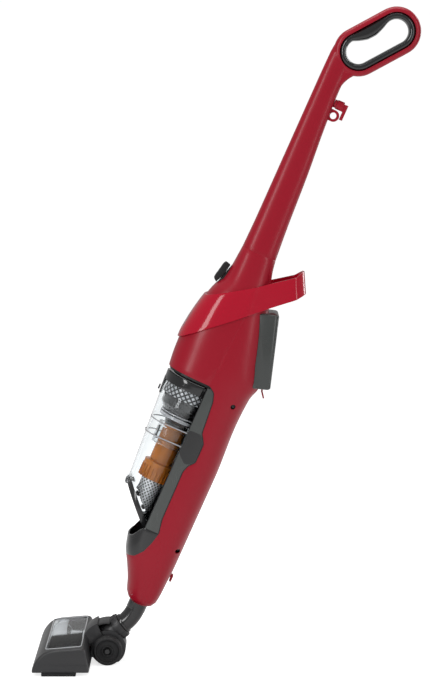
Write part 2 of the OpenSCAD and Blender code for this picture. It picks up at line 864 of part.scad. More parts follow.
module inlet_scroll() {
    color([0.8, 0.82, 0.85, 0.5]) leaned() intersection() {
        translate([cup_x, 0, s_inlet - 15]) difference() {
            cylinder(r = cup_r(s_inlet - 15) - cup_wall_t - 0.3, h = 30);
            translate([0, 0, 2]) cylinder(r = tube_r + 12, h = 26);
            translate([0, 0, -1]) cylinder(r = tube_r + 6, h = 50);
            translate([0, 0, 15]) rotate([0, 90, 0]) cylinder(r = inlet_r, h = 80);
        }
        translate([cup_x - 30, -big, 0]) cube([big, 2 * big, 3 * big]);
    }
}

module lid_pin() {
    color([0.6, 0.6, 0.62]) leaned() across(hinge_pin_r - run_gap / 2, 34, hinge_x, 0, hinge_s);
}

module cup_lid() {
    color([0.14, 0.14, 0.15]) leaned() difference() {
        union() {
            intersection() {
                translate([cup_x, 0, s_cup_floor - 20]) cylinder(r = cup_r(hinge_s) + 0.4, h = 120);
                above_mouth(0);
                difference() {
                    cube([2 * big, 2 * big, 6 * big], center = true);
                    above_mouth(lid_t);
                }
                translate([-200, -big, 0]) cube([200 + x_lid_edge + 5, 2 * big, big * 2]);
            }
            across(4, 24, hinge_x, 0, hinge_s);
        }
        // hollow of the lid, and room for the pin and its ears
        intersection() {
            translate([cup_x, 0, s_cup_floor - 20]) cylinder(r = cup_r(hinge_s) - 5, h = 120);
            above_mouth(3);
            translate([-78, -big, 0]) cube([78 + x_lid_edge + 1, 2 * big, big * 2]);
        }
        across(hinge_pin_r + run_gap, 60, hinge_x, 0, hinge_s);
        for (y = [-1, 1]) translate([hinge_x - 7, y * 15 - 2.6, hinge_s - 8]) cube([18, 5.2, 22]);
        before_hinge(nose_r);
    }
}

module lid_seal() {
    color([0.05, 0.05, 0.05]) leaned() intersection() {
        translate([cup_x, 0, s_cup_floor - 20]) difference() {
            cylinder(r = cup_r(hinge_s) - 5.2, h = 120);
            translate([0, 0, -1]) cylinder(r = cup_r(hinge_s) - 8, h = 130);
        }
        above_mouth(lid_t - 3);
        difference() {
            cube([2 * big, 2 * big, 6 * big], center = true);
            above_mouth(lid_t - 0.2);
        }
        translate([-77.5, -big, 0]) cube([77.5 + x_lid_edge, 2 * big, big * 2]);
    }
}

// ---- duct and neck ----

module suction_duct() {
    color([0.25, 0.25, 0.26]) leaned() difference() {
        union() {
            translate([duct_x, 0, s_pipe_top + 1]) cylinder(r = duct_r, h = s_inlet - s_pipe_top + inlet_r + 1);
            translate([pipe_x, 0, s_pipe_top - 26]) cylinder(r = pipe_r + 2.4, h = 29);
            intersection() {
                translate([0, 0, s_inlet]) rotate([0, 90, 0]) cylinder(r = duct_r - 0.6, h = duct_x);
                translate([cup_x + cup_r(s_inlet) + cup_gap + wall + 1.8, -big, 0])
                    cube([big, 2 * big, 3 * big]);
            }
        }
        translate([duct_x, 0, s_pipe_top - 1]) cylinder(r = duct_r - duct_wall, h = s_inlet - s_pipe_top + inlet_r);
        translate([pipe_x, 0, s_pipe_top - 30]) cylinder(r = pipe_r + seat_gap, h = 30 + seat_gap);
        translate([0, 0, s_inlet]) rotate([0, 90, 0]) cylinder(r = duct_r - duct_wall - 0.8, h = duct_x);
    }
}

// Frame at the swivel: z points from the collar up into the neck pipe
module swivel_frame() {
    translate([collar_x, 0, collar_s]) rotate([0, pipe_bend, 0]) children();
}

// Solid run of the neck pipe at a radius: straight, bend and the spigot that the collar turns on
module pipe_run(r) {
    translate([pipe_x, 0, s_bend - 1]) cylinder(r = r, h = s_pipe_top - s_bend + 1);
    translate([pipe_x - bend_R, 0, s_bend]) rotate([-90, 0, 0]) rotate_extrude(angle = pipe_bend)
        translate([bend_R, 0]) circle(r = r - pipe_step);
    swivel_frame() translate([0, 0, -16]) cylinder(r = r, h = 17 + spigot_rise);
}

module neck_pipe() {
    color([0.2, 0.2, 0.21]) leaned() difference() {
        union() {
            pipe_run(pipe_r);
            swivel_frame() translate([0, 0, collar_len / 2 + 0.3]) cylinder(r = pipe_r + 1.5, h = 4.5);
        }
        pipe_run(pipe_r - pipe_wall);
    }
}

module swivel_collar() {
    color([0.17, 0.17, 0.18]) leaned() swivel_frame() translate([0, 0, -collar_len / 2]) difference() {
        union() {
            cylinder(r = collar_r, h = collar_len);
            for (a = [0:30:330]) rotate(a) translate([collar_r - 0.5, -1.2, 2]) cube([1.4, 2.4, collar_len - 4]);
        }
        translate([0, 0, -1]) cylinder(r = pipe_r + run_gap, h = collar_len + 2);
    }
}

// Pie slice about the pivot, between two angles forward of upright
module slice(a0, a1) {
    side([[0, 0], [-2 * big * sin(a0), 2 * big * cos(a0)], [-2 * big * sin(a1), 2 * big * cos(a1)]]);
}

module yoke() {
    color([0.18, 0.18, 0.19]) leaned() difference() {
        union() {
            across(drum_r, drum_w, 0, 0, 0);
            swivel_frame() translate([0, 0, -collar_len / 2 - 32]) cylinder(r = pipe_r + 3, h = 32 - seat_gap);
            // shield under the floor head's dome
            intersection() {
                difference() {
                    across(shield_r, drum_w, 0, 0, 0);
                    across(shield_r - 2.4, big, 0, 0, 0);
                }
                slice(20, 62);
            }
        }
        across(drum_r - 2.6, drum_w - 8, 0, 0, 0);
        swivel_frame() {
            translate([0, 0, -collar_len / 2 - 11]) cylinder(r = pipe_r + run_gap, h = 20);
            translate([0, 0, -collar_len / 2 - 24]) cylinder(r = pipe_r - pipe_wall, h = 40);
            translate([0, 0, -collar_len / 2 - seat_gap]) cylinder(r = collar_r + 2, h = 40);
        }
        across(axle_r + run_gap, 2 * drum_w, 0, 0, 0);
        // air way towards the floor head
        rotate([0, -lean, 0]) translate([-60, -drum_w / 2 + 6, -12]) cube([60, drum_w - 12, 22]);
    }
}

// ---- floor head ----

// Side outline of the floor head, from its wall inwards by t
function head_outline(t) = [
    [head_x0 + t, sole_z + t], [head_x0 + t, 12], [head_x0 + 6 + t, 27 - t / 2],
    [head_x0 + 23 + t / 2, 44 - t], [head_x1 - 13 - t / 2, 49 - t], [head_x1 - 6 - t, 45 - t],
    [head_x1 - t, 12], [head_x1 - t, sole_z + t]];

module head_box(t) {
    side(head_outline(t), head_w - 2 * t);
}

module mouth() {
    translate([brush_x - 19, -brush_half + 3, -5]) cube([38, 2 * brush_half - 6, 22]);
}

module below(z) {
    translate([-big, -big, z - big]) cube([2 * big, 2 * big, big]);
}

module head_base() {
    color([0.15, 0.15, 0.16]) difference() {
        union() {
            intersection() {
                difference() {
                    head_box(0);
                    head_box(head_wall);
                }
                below(split_z);
            }
            // cheeks that carry the pivot and the wheels
            for (y = [-1, 1]) translate([0, y * (cheek_y + cheek_t / 2), 0]) {
                across(11, cheek_t, 0, 0, pivot_h);
                translate([head_x1 - 2, -cheek_t / 2, sole_z + 4]) cube([6 - head_x1, cheek_t, split_z - sole_z - 4]);
                translate([head_x1 + 0.1, -cheek_t / 2, split_z - 1]) cube([-head_x1, cheek_t, 12]);
            }
        }
        mouth();
        across(axle_r, 4 * drum_w, 0, 0, pivot_h);
        across(drum_r + 1, chamber_w, 0, 0, pivot_h);
    }
}

window_x0 = head_x0 + 23;
window_x1 = head_x1 - 13;
window_half = half_head - 14;
module window_cut(t) {
    translate([window_x0 + t, -window_half + t, 30]) cube([window_x1 - window_x0 - 2 * t, 2 * window_half - 2 * t, 40]);
}

module head_cover() {
    color([0.22, 0.22, 0.23]) difference() {
        union() {
            difference() {
                head_box(0);
                head_box(head_wall);
                below(split_z + 0.1);
                window_cut(0);
            }
            // dome over the yoke, with its two side walls
            difference() {
                across(dome_r, chamber_w + 2 * cheek_t, 0, 0, pivot_h);
                across(dome_r - dome_t, chamber_w, 0, 0, pivot_h);
                head_box(head_wall);
                side([[-60, -100], [-60, 100], [window_x1 + 0.1, 100], [window_x1 + 0.1, dome_z], [dome_tan * (pivot_h - dome_z), dome_z],
                    [dome_tan * -60, pivot_h + 60], [100, 100], [100, -100]]);
            }
        }
        across(dome_r - dome_t, chamber_w, 0, 0, pivot_h);
        across(11.3, big, 0, 0, pivot_h);
    }
}

module head_window() {
    color([0.9, 0.92, 0.95, 0.35]) intersection() {
        difference() {
            head_box(0);
            head_box(head_wall - 0.4);
        }
        window_cut(0.2);
        translate([-big, -big, 38]) cube([2 * big, 2 * big, big]);
    }
}

module air_duct() {
    color([0.85, 0.86, 0.87]) difference() {
        translate([brush_x + 21, -26, 11]) cube([40, 52, 30]);
        translate([brush_x + 20, -23.6, 13.4]) cube([60, 47.2, 25.2]);
        across(dome_r + 0.3, 2 * drum_w, 0, 0, pivot_h);
        across(brush_shaft_r + 1, 2 * drum_w, turbine_x, 0, turbine_z);
    }
}

module sole_skid() {
    color([0.12, 0.12, 0.13]) difference() {
        translate([head_x0 + 16, -half_head + 4, 0]) cube([58, head_w - 8, sole_z]);
        mouth();
    }
}

module brush_roll() {
    color([0.3, 0.3, 0.32]) {
        across(brush_core_r, 2 * brush_half - 12, brush_x, 0, brush_z);
        across(brush_shaft_r, 2 * brush_half - 1, brush_x, 0, brush_z);
    }
}

bristle_rows = 4;
module brush_bristles() {
    color([0.85, 0.1, 0.1]) translate([brush_x, 0, brush_z]) difference() {
        for (i = [0:bristle_rows - 1]) rotate([0, 360 / bristle_rows * i, 0])
            for (k = [-7:6]) translate([0, k * (brush_half - 20) / 7, 0]) rotate([0, 6 * k, 0])
                translate([brush_core_r - 1, 0.5, -1.5]) cube([bristle_r - brush_core_r + 1, (brush_half - 20) / 7 - 1, 3]);
        rotate([90, 0, 0]) cylinder(r = brush_core_r + seat_gap, h = head_w, center = true);
    }
}

module brush_bearings() {
    color([0.5, 0.5, 0.5]) for (y = [-1, 1]) difference() {
        across(8, 6, brush_x, y * (brush_half - 1), brush_z);
        across(brush_shaft_r + run_gap, 30, brush_x, y * (brush_half - 1), brush_z);
    }
}

turbine_blades = 10;
module turbine() {
    color([0.15, 0.15, 0.16]) translate([turbine_x, 0, turbine_z]) {
        rotate([90, 0, 0]) cylinder(r = 7, h = 40, center = true);
        for (i = [0:turbine_blades - 1]) rotate([0, 360 / turbine_blades * i, 0])
            translate([6, -20, -0.8]) cube([turbine_r - 6.5, 40, 1.6]);
        translate([0, belt_y / 2, 0]) rotate([90, 0, 0]) cylinder(r = brush_shaft_r, h = -belt_y + belt_w, center = true);
        translate([0, belt_y, 0]) rotate([90, 0, 0]) cylinder(r = pulley_turbine_r, h = belt_w + 2, center = true);
    }
}

module belt_shape(t) {
    hull() {
        circle(r = brush_core_r + t, $fn = 48);
        translate([turbine_x - brush_x, turbine_z - brush_z]) circle(r = pulley_turbine_r + t, $fn = 32);
    }
}

module drive_belt() {
    color([0.08, 0.08, 0.08]) translate([brush_x, belt_y + belt_w / 2 - 1, brush_z]) rotate([90, 0, 0])
        linear_extrude(belt_w - 2) difference() {
            belt_shape(0.4 + belt_t);
            belt_shape(0.4);
        }
}

module wheel_axles() {
    color([0.7, 0.7, 0.72]) for (y = [-1, 1])
        across(axle_r - 0.02, 5 + cheek_t + wheel_w + 1, 0, y * (cheek_y - 5 + (6 + cheek_t + wheel_w) / 2), pivot_h);
}

module rear_wheel(y) {
    translate([0, y * (wheel_y + wheel_w / 2), pivot_h]) rotate([90, 0, 0]) difference() {
        union() {
            cylinder(r = wheel_r, h = wheel_w - 4, center = true);
            cylinder(r = wheel_r - 2, h = wheel_w, center = true);
        }
        translate([0, 0, y < 0 ? 3 : -3 - wheel_w]) difference() {
            cylinder(r = wheel_r - 6, h = wheel_w);
            cylinder(r = 9, h = wheel_w);
        }
        cylinder(r = axle_r + run_gap, h = 2 * wheel_w, center = true);
    }
}

module rear_wheel_left() {
    color([0.12, 0.12, 0.12]) rear_wheel(-1);
}

module rear_wheel_right() {
    color([0.12, 0.12, 0.12]) rear_wheel(1);
}

handle_left();
handle_right();
grip_insert();
cord_eye();
hook_pivot();
upper_cord_hook();
spine_left();
spine_right();
front_hood();
lower_cover();
chin_cradle();
cup_bay();
carry_band();
badge_disc();
lower_cord_hook();
cord_gland();
housing_screws();
intake_plate();
suction_duct();
fan_housing();
fan_impeller();
motor_can();
motor_stator();
motor_rotor();
motor_bearings();
motor_mount();
control_board();
switch_body();
switch_slider();
exhaust_filter();
exhaust_cover();
cover_latch();
cup_wall();
cup_collar();
cup_latch();
foam_filter();
shroud_screen();
cyclone_tube();
dirt_collar();
mesh_cone();
inlet_scroll();
lid_pin();
cup_lid();
lid_seal();
neck_pipe();
swivel_collar();
yoke();
head_base();
head_cover();
head_window();
air_duct();
sole_skid();
brush_roll();
brush_bristles();
brush_bearings();
turbine();
drive_belt();
wheel_axles();
rear_wheel_left();
rear_wheel_right();
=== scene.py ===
import math

import bmesh
import bpy
from mathutils import Matrix, Vector


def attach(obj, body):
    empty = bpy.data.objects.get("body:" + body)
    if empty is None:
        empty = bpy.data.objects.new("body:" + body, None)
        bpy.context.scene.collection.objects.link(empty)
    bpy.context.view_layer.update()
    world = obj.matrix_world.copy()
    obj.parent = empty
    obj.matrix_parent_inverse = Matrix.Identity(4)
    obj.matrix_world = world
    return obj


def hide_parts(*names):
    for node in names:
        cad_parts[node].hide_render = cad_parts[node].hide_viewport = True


bl_info = {
    "name": "Stick Vacuum",
    "version": (1, 0, 0),
    "blender": (4, 5, 0),
    "location": "3D View > Sidebar > Vacuum",
    "description": "Builds the casings, cup, floor head and finishes of an upright stick vacuum",
    "category": "Add Mesh",
}

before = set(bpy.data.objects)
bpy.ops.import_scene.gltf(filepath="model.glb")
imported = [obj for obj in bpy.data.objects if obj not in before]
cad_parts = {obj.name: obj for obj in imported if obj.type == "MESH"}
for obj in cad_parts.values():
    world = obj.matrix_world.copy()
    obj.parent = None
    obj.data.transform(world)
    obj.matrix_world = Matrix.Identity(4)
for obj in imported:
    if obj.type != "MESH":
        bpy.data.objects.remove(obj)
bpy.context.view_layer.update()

# ---------------------------------------------------------------- stance and outlines, in millimetres

MM = 0.001
# the machine leans back about the axle of the rear wheels
LEAN = 24.0
PIVOT_H = 25.0
STANCE = Matrix.Translation((0, 0, PIVOT_H * MM)) @ Matrix.Rotation(math.radians(LEAN), 4, "Y")

WALL = 2.6
SLIP = 0.5
S_BASE, S_CHIN, S_BAY, S_HOOD, S_NECK, S_GRIP = 92.0, 165.0, 194.0, 491.0, 725.0, 1100.0
S_BAY0 = S_BAY + 30
BAY_FRONT = -28.0
# reach of the cutters, and the power of the casing's oval sections
FAR = 400.0
FULLNESS = 2.7

# casing sections as (height, front, rear, half width)
BODY = [
    (92, 1, 34, 24.4), (96, -5, 40, 30.5), (104, -11, 44.5, 35.4), (122, -17.5, 46.5, 42.1),
    (150, -31, 47.5, 50.0), (172, -43, 48.5, 54.9), (194, -49, 48.5, 57.3), (344, -80, 48.5, 60.4),
    (441, -100, 44.5, 61), (491, -102.5, 47, 61), (516, -105, 54, 61), (551, -106, 43, 60.4),
    (591, -101, 31, 58), (631, -92, 18.5, 52.5), (650, -85.5, 12.5, 48.2), (662, -77.5, 8, 45.1),
    (685, -73.5, 0, 37.8), (707, -71.5, -6, 32.3), (725, -70, -9, 28),
]
HANDLE = [
    (725, -70, -9, 28), (785, -69, -13.5, 23.5), (875, -69, -18.5, 20.2), (960, -69, -25, 17.5),
    (1030, -69, -28.5, 16.5), (1082, -68.5, -27, 14.6), (1098, -66.8, -22, 14.6),
]
# seams in side view as (rear, height)
CHIN_TIP = [(-3, 224)]
LOWER_SEAM = [(19, 87), (18, 108), (16, 154), (15, 192), (9, 210)]
CHIN_LOW = [(-7, 206), (-14, 187), (-25, 172), (-37, 165)]
CHIN_TOP = [(-49.5, 194), (-42, 202), (-34, 218), (-28, 224)]
BAY_REAR = [(-8, 250), (-9, 340), (-5, 352), (4, 362), (4, 396), (-6, 412), (-11, 468), (-16, 483)]
HOOD_SEAM = [(-28, 491), (-21, 604), (-14, 649), (-140, 579)]

# the dust cup's axis, its top, and the inlet's height and bore
CUP_X = -47.5
S_CUP_TOP = 472.0
S_INLET = 378.0
INLET_R = 11.0
# the screws as (depth, height, place of the head), and how far the exhaust cover leans from the casing
SCREWS = [(24, 473, -41.5), (39.5, 207, -23.2)]
EX_TURN = math.degrees(math.atan((54 - 12.5) / (159 - 25)))

HEAD_HALF = 120.0
SPLIT_Z = 21.0
BRUSH_X, BRUSH_Z, BRUSH_HALF = -87.0, 20.5, 107.0
PIPE_R, CHAMBER = 16.5, 45.0
DOME_R, DRUM_R, CHEEK_Y, CHEEK_T = 47.5, 30.5, 22.5, 6.0


def cup_r(s):
    """Radius of the tapered dust cup at a height."""
    return 41.5 + 10.5 * (s - (S_CUP_TOP - 168)) / 168


# ---------------------------------------------------------------- sizes and colours a user may change

class VacuumSizes(bpy.types.PropertyGroup):
    edge_round: bpy.props.FloatProperty(
        name="Edge Round", description="Rounding of the moulded edges along a seam",
        default=0.0006, min=0.0002, max=0.0012, unit="LENGTH", subtype="DISTANCE")
    seam_lap: bpy.props.FloatProperty(
        name="Seam Lap", description="How far two moulded halves lap over each other at the middle plane",
        default=0.0003, min=0.0001, max=0.0008, unit="LENGTH", subtype="DISTANCE")
    grip_round: bpy.props.FloatProperty(
        name="Grip Round", description="Rounding of the grip loop's outer edge",
        default=0.0085, min=0.003, max=0.012, unit="LENGTH", subtype="DISTANCE")
    loft_step: bpy.props.FloatProperty(
        name="Section Step", description="Distance between two sections of a lofted casing",
        default=0.008, min=0.004, max=0.02, unit="LENGTH", subtype="DISTANCE")
    tuft_count: bpy.props.IntProperty(
        name="Tufts in a Row", description="Bristle tufts in each spiral row of the brush roll",
        default=34, min=10, max=60)
    camera_distance: bpy.props.FloatProperty(
        name="Camera Distance", description="Distance of the camera in front of the middle plane",
        default=3.796, min=2.0, max=8.0, unit="LENGTH", subtype="DISTANCE")
    light_strength: bpy.props.FloatProperty(
        name="Light", description="Strength of the studio lights", default=1.0, min=0.1, max=4.0,
        subtype="FACTOR")


def colour(name, words, value):
    return bpy.props.FloatVectorProperty(name=name, description=words, default=value, size=3,
                                         min=0.0, max=1.0, subtype="COLOR")


class VacuumColours(bpy.types.PropertyGroup):
    satin_red: colour("Casing Red", "Satin red of the moulded casings", (0.38, 0.0045, 0.020))
    gloss_red: colour("Band Red", "Bright gloss red of the carry band", (0.50, 0.0015, 0.022))
    charcoal: colour("Charcoal", "Dark grey of the floor head and chin", (0.034, 0.034, 0.036))
    # the trim's grey is partly its own dark colour and partly a painted reflection: black gloss lightened to
    # the grey its sides reflect
    trim: colour("Trim", "Grey of the cup's side trim", (0.075, 0.082, 0.079))
    black: colour("Black", "Matt black of the switch and collar", (0.009, 0.009, 0.010))
    amber: colour("Amber", "Translucent amber of the cyclone", (0.62, 0.20, 0.018))
    pale: colour("Pale Grey", "Pale grey of the air duct", (0.62, 0.64, 0.66))
    steel: colour("Steel", "Perforated and turned steel", (0.58, 0.58, 0.60))
    bristle: colour("Bristles", "Nylon of the brush tufts", (0.30, 0.02, 0.025))


# ---------------------------------------------------------------- modelling helpers

def pick_only(obj):
    """Selects one object alone, in object mode."""
    if bpy.context.object and bpy.context.object.mode != "OBJECT":
        bpy.ops.object.mode_set(mode="OBJECT")
    bpy.ops.object.select_all(action="DESELECT")
    obj.select_set(True)
    bpy.context.view_layer.objects.active = obj


def named(obj, name):
    obj.name = name
    obj.data.name = name
    return obj


def skin(name, rings, loop=False):
    """A closed form through a run of point rings: one cap, extruded and shaped for each further ring."""
    bpy.ops.object.select_all(action="DESELECT")
    bpy.ops.mesh.primitive_circle_add(vertices=len(rings[0]), radius=0.01, fill_type="NGON")
    obj = named(bpy.context.active_object, name)
    bpy.ops.object.mode_set(mode="EDIT")
    bpy.ops.mesh.select_all(action="SELECT")
    mesh = bmesh.from_edit_mesh(obj.data)
    mesh.verts.ensure_lookup_table()
    edge = list(range(len(rings[0])))
    for i, p in zip(edge, rings[0]):
        mesh.verts[i].co = Vector(p) * MM
    bmesh.update_edit_mesh(obj.data)
    for ring in rings[1:]:
        bpy.ops.mesh.extrude_region_move()
        mesh = bmesh.from_edit_mesh(obj.data)
        mesh.verts.ensure_lookup_table()
        mesh.verts.index_update()
        moved = []
        for i in edge:
            v = mesh.verts[i]
            moved.append(next(e.other_vert(v).index for e in v.link_edges if e.other_vert(v).select))
        edge = moved
        for i, p in zip(edge, ring):
            mesh.verts[i].co = Vector(p) * MM
        bmesh.update_edit_mesh(obj.data)
    if loop:
        # the last ring lies on the first: both caps go and the two rims are merged
        mesh = bmesh.from_edit_mesh(obj.data)
        sides = len(rings[0])
        for f in mesh.faces:
            f.select = len(f.verts) == sides and (sides > 4 or f.select)
        bmesh.update_edit_mesh(obj.data)
        bpy.ops.mesh.delete(type="ONLY_FACE")
        bpy.ops.mesh.select_all(action="SELECT")
        bpy.ops.mesh.remove_doubles(threshold=1e-6)
    bpy.ops.mesh.select_all(action="SELECT")
    bpy.ops.mesh.normals_make_consistent(inside=False)
    bpy.ops.object.mode_set(mode="OBJECT")
    return obj


def lathe(name, profile, sides=64, loop=True):
    """Turns a (radius, height) profile about the local Z axis."""
    if loop:
        profile = list(profile) + [profile[0]]
    rings = [[(r * math.cos(2 * math.pi * i / sides), r * math.sin(2 * math.pi * i / sides), z)
              for i in range(sides)] for r, z in profile]
    return skin(name, rings, loop)


def prism(name, outline, width, y=0.0):
    """A side-view outline of (x, z) points, as deep as width along Y."""
    return skin(name, [[(x, y + end, z) for x, z in outline] for end in (-width / 2, width / 2)])


def block(name, low, high):
    bpy.ops.object.select_all(action="DESELECT")
    centre = [(a + b) / 2 * MM for a, b in zip(low, high)]
    bpy.ops.mesh.primitive_cube_add(size=1, location=centre)
    obj = named(bpy.context.active_object, name)
    obj.scale = [(b - a) * MM for a, b in zip(low, high)]
    pick_only(obj)
    bpy.ops.object.transform_apply(location=True, rotation=True, scale=True)
    return obj


def rod(name, radius, length, x=0.0, y=0.0, z=0.0, axis="Y", sides=64):
    """A cylinder on an axis, as a cutter or the start of a piece."""
    turn = {"X": (0, math.pi / 2, 0), "Y": (math.pi / 2, 0, 0), "Z": (0, 0, 0)}[axis]
    bpy.ops.object.select_all(action="DESELECT")
    bpy.ops.mesh.primitive_cylinder_add(vertices=sides, radius=radius * MM, depth=length * MM,
                                        location=(x * MM, y * MM, z * MM), rotation=turn)
    obj = named(bpy.context.active_object, name)
    pick_only(obj)
    bpy.ops.object.transform_apply(location=True, rotation=True, scale=True)
    return obj


def settle(obj, matrix):
    """Puts a piece in its place, with the place in its mesh."""
    pick_only(obj)
    obj.matrix_world = matrix
    bpy.ops.object.transform_apply(location=True, rotation=True, scale=True)
    return obj


def copy_of(obj, name):
    twin = obj.copy()
    twin.data = obj.data.copy()
    bpy.context.scene.collection.objects.link(twin)
    return named(twin, name)


def combine(obj, other, how):
    """Boolean with another solid, which is then removed."""
    pick_only(obj)
    m = obj.modifiers.new("combine", "BOOLEAN")
    m.operation = how
    m.solver = "EXACT"
    m.object = other
    bpy.ops.object.modifier_apply(modifier=m.name)
    bpy.data.objects.remove(other)
    return obj


def cut(obj, *others):
    """Takes other solids away from this one."""
    for other in others:
        combine(obj, other, "DIFFERENCE")
    return obj


def keep(obj, other):
    """Keeps what lies inside the other solid."""
    return combine(obj, other, "INTERSECT")


def join(obj, *others):
    for other in others:
        combine(obj, other, "UNION")
    return obj


def gather(name, objs):
    """Several loose solids as one object."""
    pick_only(objs[0])
    for o in objs[1:]:
        o.select_set(True)
    bpy.ops.object.join()
    return named(bpy.context.active_object, name)


def clean(obj, flat=0.05):
    """Merges doubled points and, unless flat is 0, joins faces that lie flat within that many degrees."""
    pick_only(obj)
    bpy.ops.object.mode_set(mode="EDIT")
    bpy.ops.mesh.select_all(action="SELECT")
    bpy.ops.mesh.remove_doubles(threshold=2e-6)
    bpy.ops.mesh.dissolve_degenerate(threshold=2e-6)
    if flat:
        bpy.ops.mesh.dissolve_limited(angle_limit=math.radians(flat))
    bpy.ops.object.mode_set(mode="OBJECT")
    return obj


def soften(obj, width, segments=2, angle=30.0, smooth=32.0):
    """Rounds the sharp edges and shades the rest smooth."""
    pick_only(obj)
    if width:
        m = obj.modifiers.new("round", "BEVEL")
        m.width = width
        m.segments = segments
        m.limit_method = "ANGLE"
        m.angle_limit = math.radians(angle)
        m.use_clamp_overlap = True
        bpy.ops.object.modifier_apply(modifier=m.name)
    bpy.ops.object.shade_smooth_by_angle(angle=math.radians(smooth))
    return obj


def refined(node, name, width=0.0005, segments=2, angle=30.0, smooth=32.0):
    """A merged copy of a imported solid, with its moulded edges rounded."""
    obj = copy_of(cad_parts[node], name)
    obj.parent = None
    obj.matrix_world = Matrix.Identity(4)
    for key in list(obj.keys()):
        del obj[key]
    obj.data.materials.clear()
    pick_only(obj)
    if obj.data.has_custom_normals:
        bpy.ops.mesh.customdata_custom_splitnormals_clear()
    clean(obj, 0)
    return soften(obj, width, segments, angle, smooth)


def show(obj, body, nodes, finish):
    """Hands a finished piece over: its body, the solids it stands for and its finish."""
    obj.data.materials.clear()
    obj.data.materials.append(finish)
    for f in obj.data.polygons:
        f.material_index = 0
    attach(obj, body)
    if nodes:
        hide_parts(*nodes)
    return obj


def hand_over(obj, body, nodes, finish, width=0.0, segments=2, angle=38.0, smooth=32.0, flat=0.05,
              place=STANCE):
    """The last steps of a piece: cleaned unless flat is None, rounded, put in its place and shown."""
    if flat is not None:
        clean(obj, flat)
    soften(obj, width, segments, angle, smooth)
    if place is not None:
        settle(obj, place)
    return show(obj, body, nodes, FINISH[finish])


def show_refined(rows):
    """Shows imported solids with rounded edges: (node, piece, width, segments, body, slot, finish)."""
    for node, piece, width, segments, body, slot, finish in rows:
        show(refined(node, piece, width, segments), body, [node], FINISH[finish])


def finish_nodes(rows):
    """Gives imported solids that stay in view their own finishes: (node, finish)."""
    for node, finish in rows:
        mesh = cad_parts[node].data
        if not mesh.materials:
            mesh.materials.append(FINISH[finish])
        for i in range(len(mesh.materials)):
            mesh.materials[i] = FINISH[finish]


# ---------------------------------------------------------------- lofted sections

def between(rows, s):
    """A row of a section table at any height, on a smooth curve that doesn't overshoot."""
    if s <= rows[0][0]:
        return rows[0][1:]
    if s >= rows[-1][0]:
        return rows[-1][1:]
    k = next(i for i in range(len(rows) - 1) if rows[i][0] <= s <= rows[i + 1][0])

    def slope(i, c):
        if i <= 0 or i >= len(rows) - 1:
            return None
        a = (rows[i][c] - rows[i - 1][c]) / (rows[i][0] - rows[i - 1][0])
        b = (rows[i + 1][c] - rows[i][c]) / (rows[i + 1][0] - rows[i][0])
        return 0.0 if a * b <= 0 else 2 * a * b / (a + b)

    h = rows[k + 1][0] - rows[k][0]
    t = (s - rows[k][0]) / h
    out = []
    for c in (1, 2, 3):
        d = (rows[k + 1][c] - rows[k][c]) / h
        m0, m1 = slope(k, c), slope(k + 1, c)
        m0 = d if m0 is None else m0
        m1 = d if m1 is None else m1
        out.append((2 * t ** 3 - 3 * t * t + 1) * rows[k][c] + (t ** 3 - 2 * t * t + t) * h * m0
                   + (3 * t * t - 2 * t ** 3) * rows[k + 1][c] + (t ** 3 - t * t) * h * m1)
    return out


def power(v, p):
    """A power that keeps its sign."""
    return math.copysign(abs(v) ** p, v)


def on_casing(d, s, out=0.0):
    """Half width of the casing at a depth and a height."""
    front, rear, half = between(BODY, s)
    mid, reach = (front + rear) / 2, (rear - front) / 2
    across = min(1.0, abs(d - mid) / reach)
    return (half + out) * (1 - across ** FULLNESS) ** (1 / FULLNESS)


def tube(name, points, radius, sides=10, loop=False):
    """A round bead along a run of points."""
    pts = [Vector(p) for p in points]
    rings = []
    for i, p in enumerate(pts):
        a = pts[i - 1] if i or loop else p
        b = pts[(i + 1) % len(pts)] if i < len(pts) - 1 or loop else p
        run = (b - a).normalized()
        one = run.cross(Vector((0.13, 0.97, 0.21))).normalized()
        two = run.cross(one)
        turns = [2 * math.pi * k / sides for k in range(sides)]
        rings.append([p + (one * math.cos(a) + two * math.sin(a)) * radius for a in turns])
    return skin(name, rings + [rings[0]] if loop else rings, loop)


def spaced(points, step):
    """A broken line with a point every few millimetres."""
    out = [Vector(points[0])]
    for a, b in zip(points, points[1:]):
        a, b = Vector(a), Vector(b)
        n = max(1, round((b - a).length / step))
        out += [a + (b - a) * k / n for k in range(1, n + 1)]
    return out


def section(s, front, rear, half, sides=96):
    """A level section of the casing: an oval with full sides."""
    mid, reach = (front + rear) / 2, (rear - front) / 2
    turns = [2 * math.pi * i / sides for i in range(sides)]
    return [(mid + reach * power(math.cos(a), 2 / FULLNESS), half * power(math.sin(a), 2 / FULLNESS), s)
            for a in turns]


def heights(table, step, low=None, high=None):
    """Heights of a loft's sections, with every row of its table among them."""
    low = table[0][0] if low is None else low
    high = table[-1][0] if high is None else high
    marks = sorted({r[0] for r in table if low <= r[0] <= high} | {low, high})
    out = [marks[0]]
    for a, b in zip(marks, marks[1:]):
        n = max(1, round((b - a) / step))
        out += [a + (b - a) * k / n for k in range(1, n + 1)]
    return out


def loft(name, table, step, inwards=0.0, low=None, high=None, sides=96):
    """A closed form over a section table, moved inwards all round."""
    rings = []
    for s in heights(table, step, low, high):
        front, rear, half = between(table, s)
        rings.append(section(s, front + inwards, rear - inwards, half - inwards, sides))
    return skin(name, rings)


